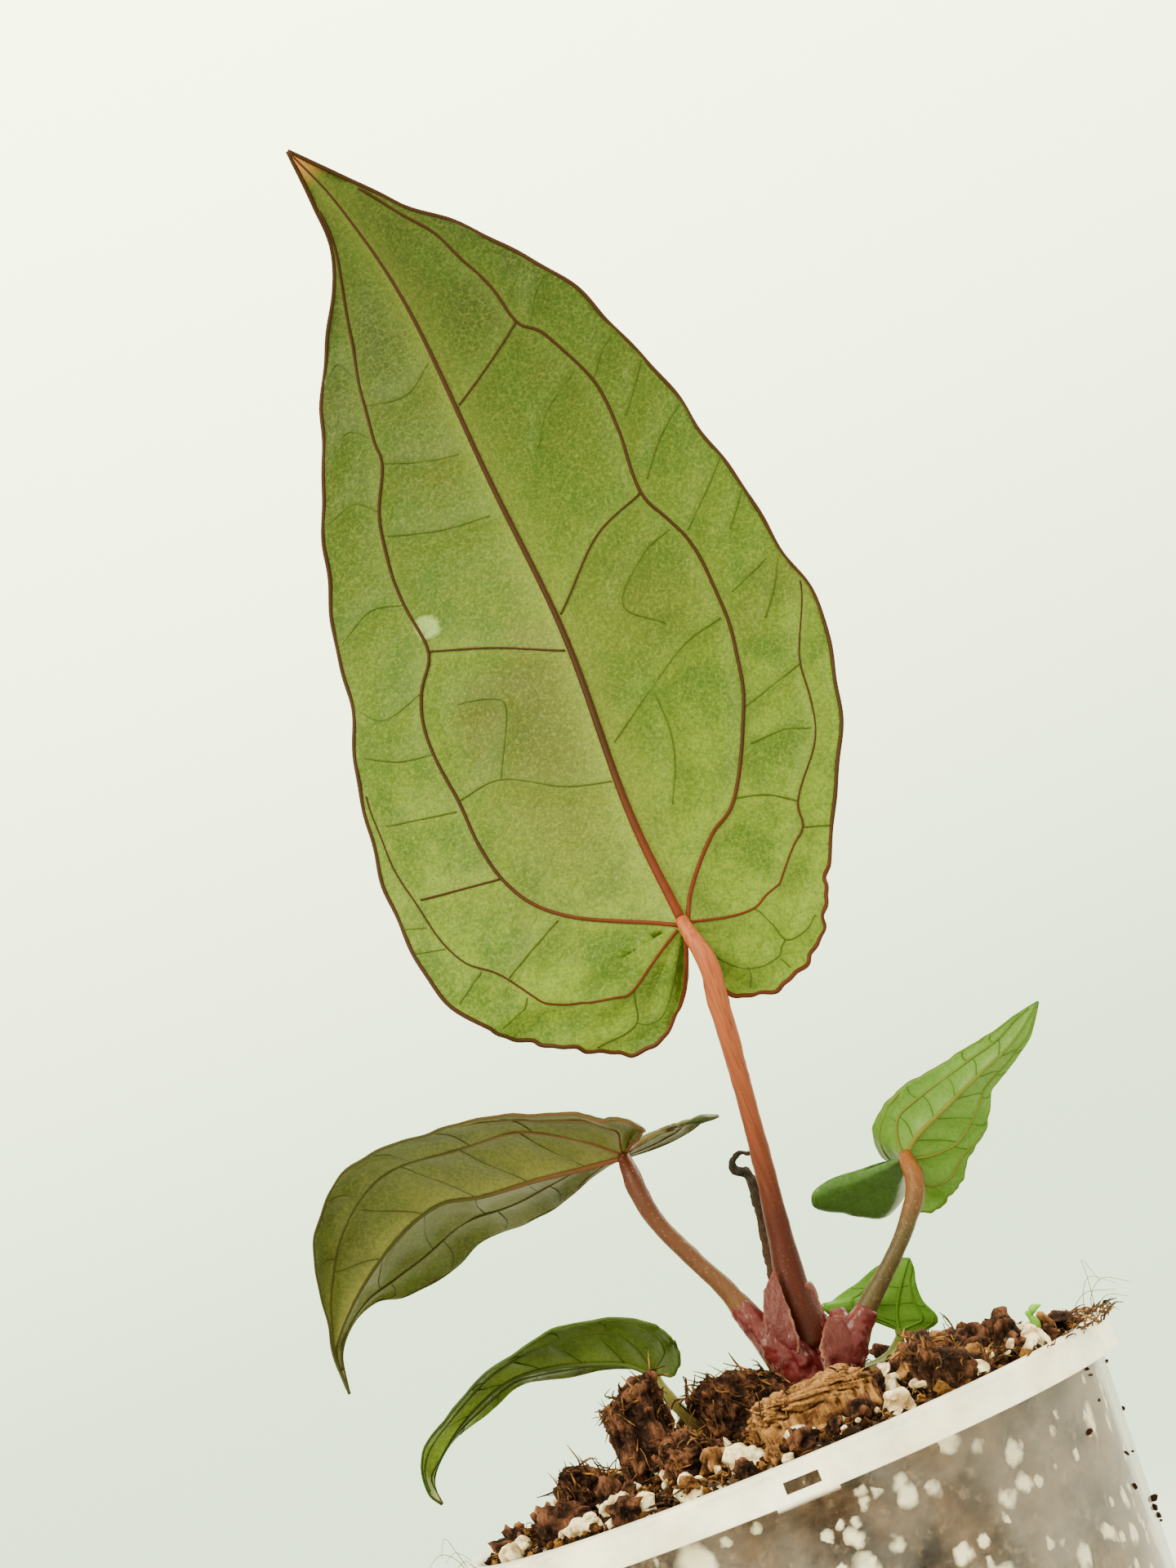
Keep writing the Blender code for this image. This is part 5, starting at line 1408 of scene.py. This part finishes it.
# Camera, light and floor
def makeCamera():
    # Close, a little below the tall leaf, and rolled so that the pot leans to the left
    view = {"place": (8.7, -320.0, rimHeight + 21.2), "rise": 12.11, "roll": 22.12, "lens": 54.6}
    rise, roll = math.radians(view["rise"]), math.radians(view["roll"])
    back = Vector((0, -math.cos(rise), -math.sin(rise)))
    right = Vector((1, 0, 0))
    up = Vector((0, -math.sin(rise), math.cos(rise)))
    sideways = right * math.cos(roll) - up * math.sin(roll)
    upright = right * math.sin(roll) + up * math.cos(roll)
    bpy.ops.object.camera_add(location=Vector(view["place"]) * mm)
    camera = bpy.context.object
    camera.rotation_euler = Matrix((sideways, upright, back)).transposed().to_euler()
    camera.data.lens = view["lens"]
    camera.data.clip_start = 0.01
    bpy.context.scene.camera = camera


def makeLight():
    lamps = {
        "key": {"place": (-0.45, -0.75, 0.85), "size": 0.7, "power": 27.0, "tint": (1.0, 0.95, 0.68)},
        "rim": {"place": (0.7, 0.45, 0.6), "size": 0.5, "power": 14.0, "tint": (1.0, 0.97, 0.75)},
    }
    for name, lamp in lamps.items():
        aim = Vector((0, 0, 0.13)) - Vector(lamp["place"])
        bpy.ops.object.light_add(type="AREA", location=lamp["place"],
                                 rotation=aim.to_track_quat("-Z", "Y").to_euler())
        light = bpy.context.object
        light.name = name
        light.data.size = lamp["size"]
        light.data.energy = lamp["power"]
        light.data.color = lamp["tint"]


def makeSurroundings():
    world = bpy.data.worlds.new("studio")
    bpy.context.scene.world = world
    world.use_nodes = True
    tree = world.node_tree
    tree.nodes.clear()
    direction = put(tree, "TexCoord", {}).outputs["Generated"]
    height = put(tree, "SeparateXYZ", {"Vector": direction}).outputs["Z"]
    share = plus(tree, times(tree, height, 1.4), 0.25, clamp=True)
    seen = steps(tree, share, [(0.0, (2.0, 2.5, 1.6)), (0.3, (2.26, 2.88, 1.78)), (1.0, (6.9, 7.7, 4.5))])
    backdrop = put(tree, "Background", {"Color": seen, "Strength": 1.0}).outputs[0]
    soft = put(tree, "Background", {"Color": (1.0, 0.95, 0.64, 1), "Strength": 2.5}).outputs[0]
    sight = put(tree, "LightPath", {}).outputs["Is Camera Ray"]
    both = put(tree, "MixShader", {0: sight, 1: soft, 2: backdrop}).outputs[0]
    put(tree, "OutputWorld", {"Surface": both})
    deselectAll()
    bpy.ops.mesh.primitive_circle_add(vertices=96, radius=0.5, fill_type="NGON", location=(0, 0, -0.0005))
    floor = bpy.context.object
    floor.name = "floor"
    material, tree = startMaterial("pale_floor", Roughness=0.7)
    place = objectPlace(tree)
    pale = mixColour(tree, noiseAt(tree, place, 60), (0.78, 0.82, 0.79), (0.82, 0.86, 0.83))
    away = put(tree, "VectorMath", {0: place}, operation="LENGTH").outputs["Value"]
    fading = steps(tree, away, [(0.2, 1.0), (0.5, 0.0)])  # into the backdrop
    floor.data.materials.append(finished(material, pale, Alpha=fading))


makeCamera()
makeLight()
makeSurroundings()
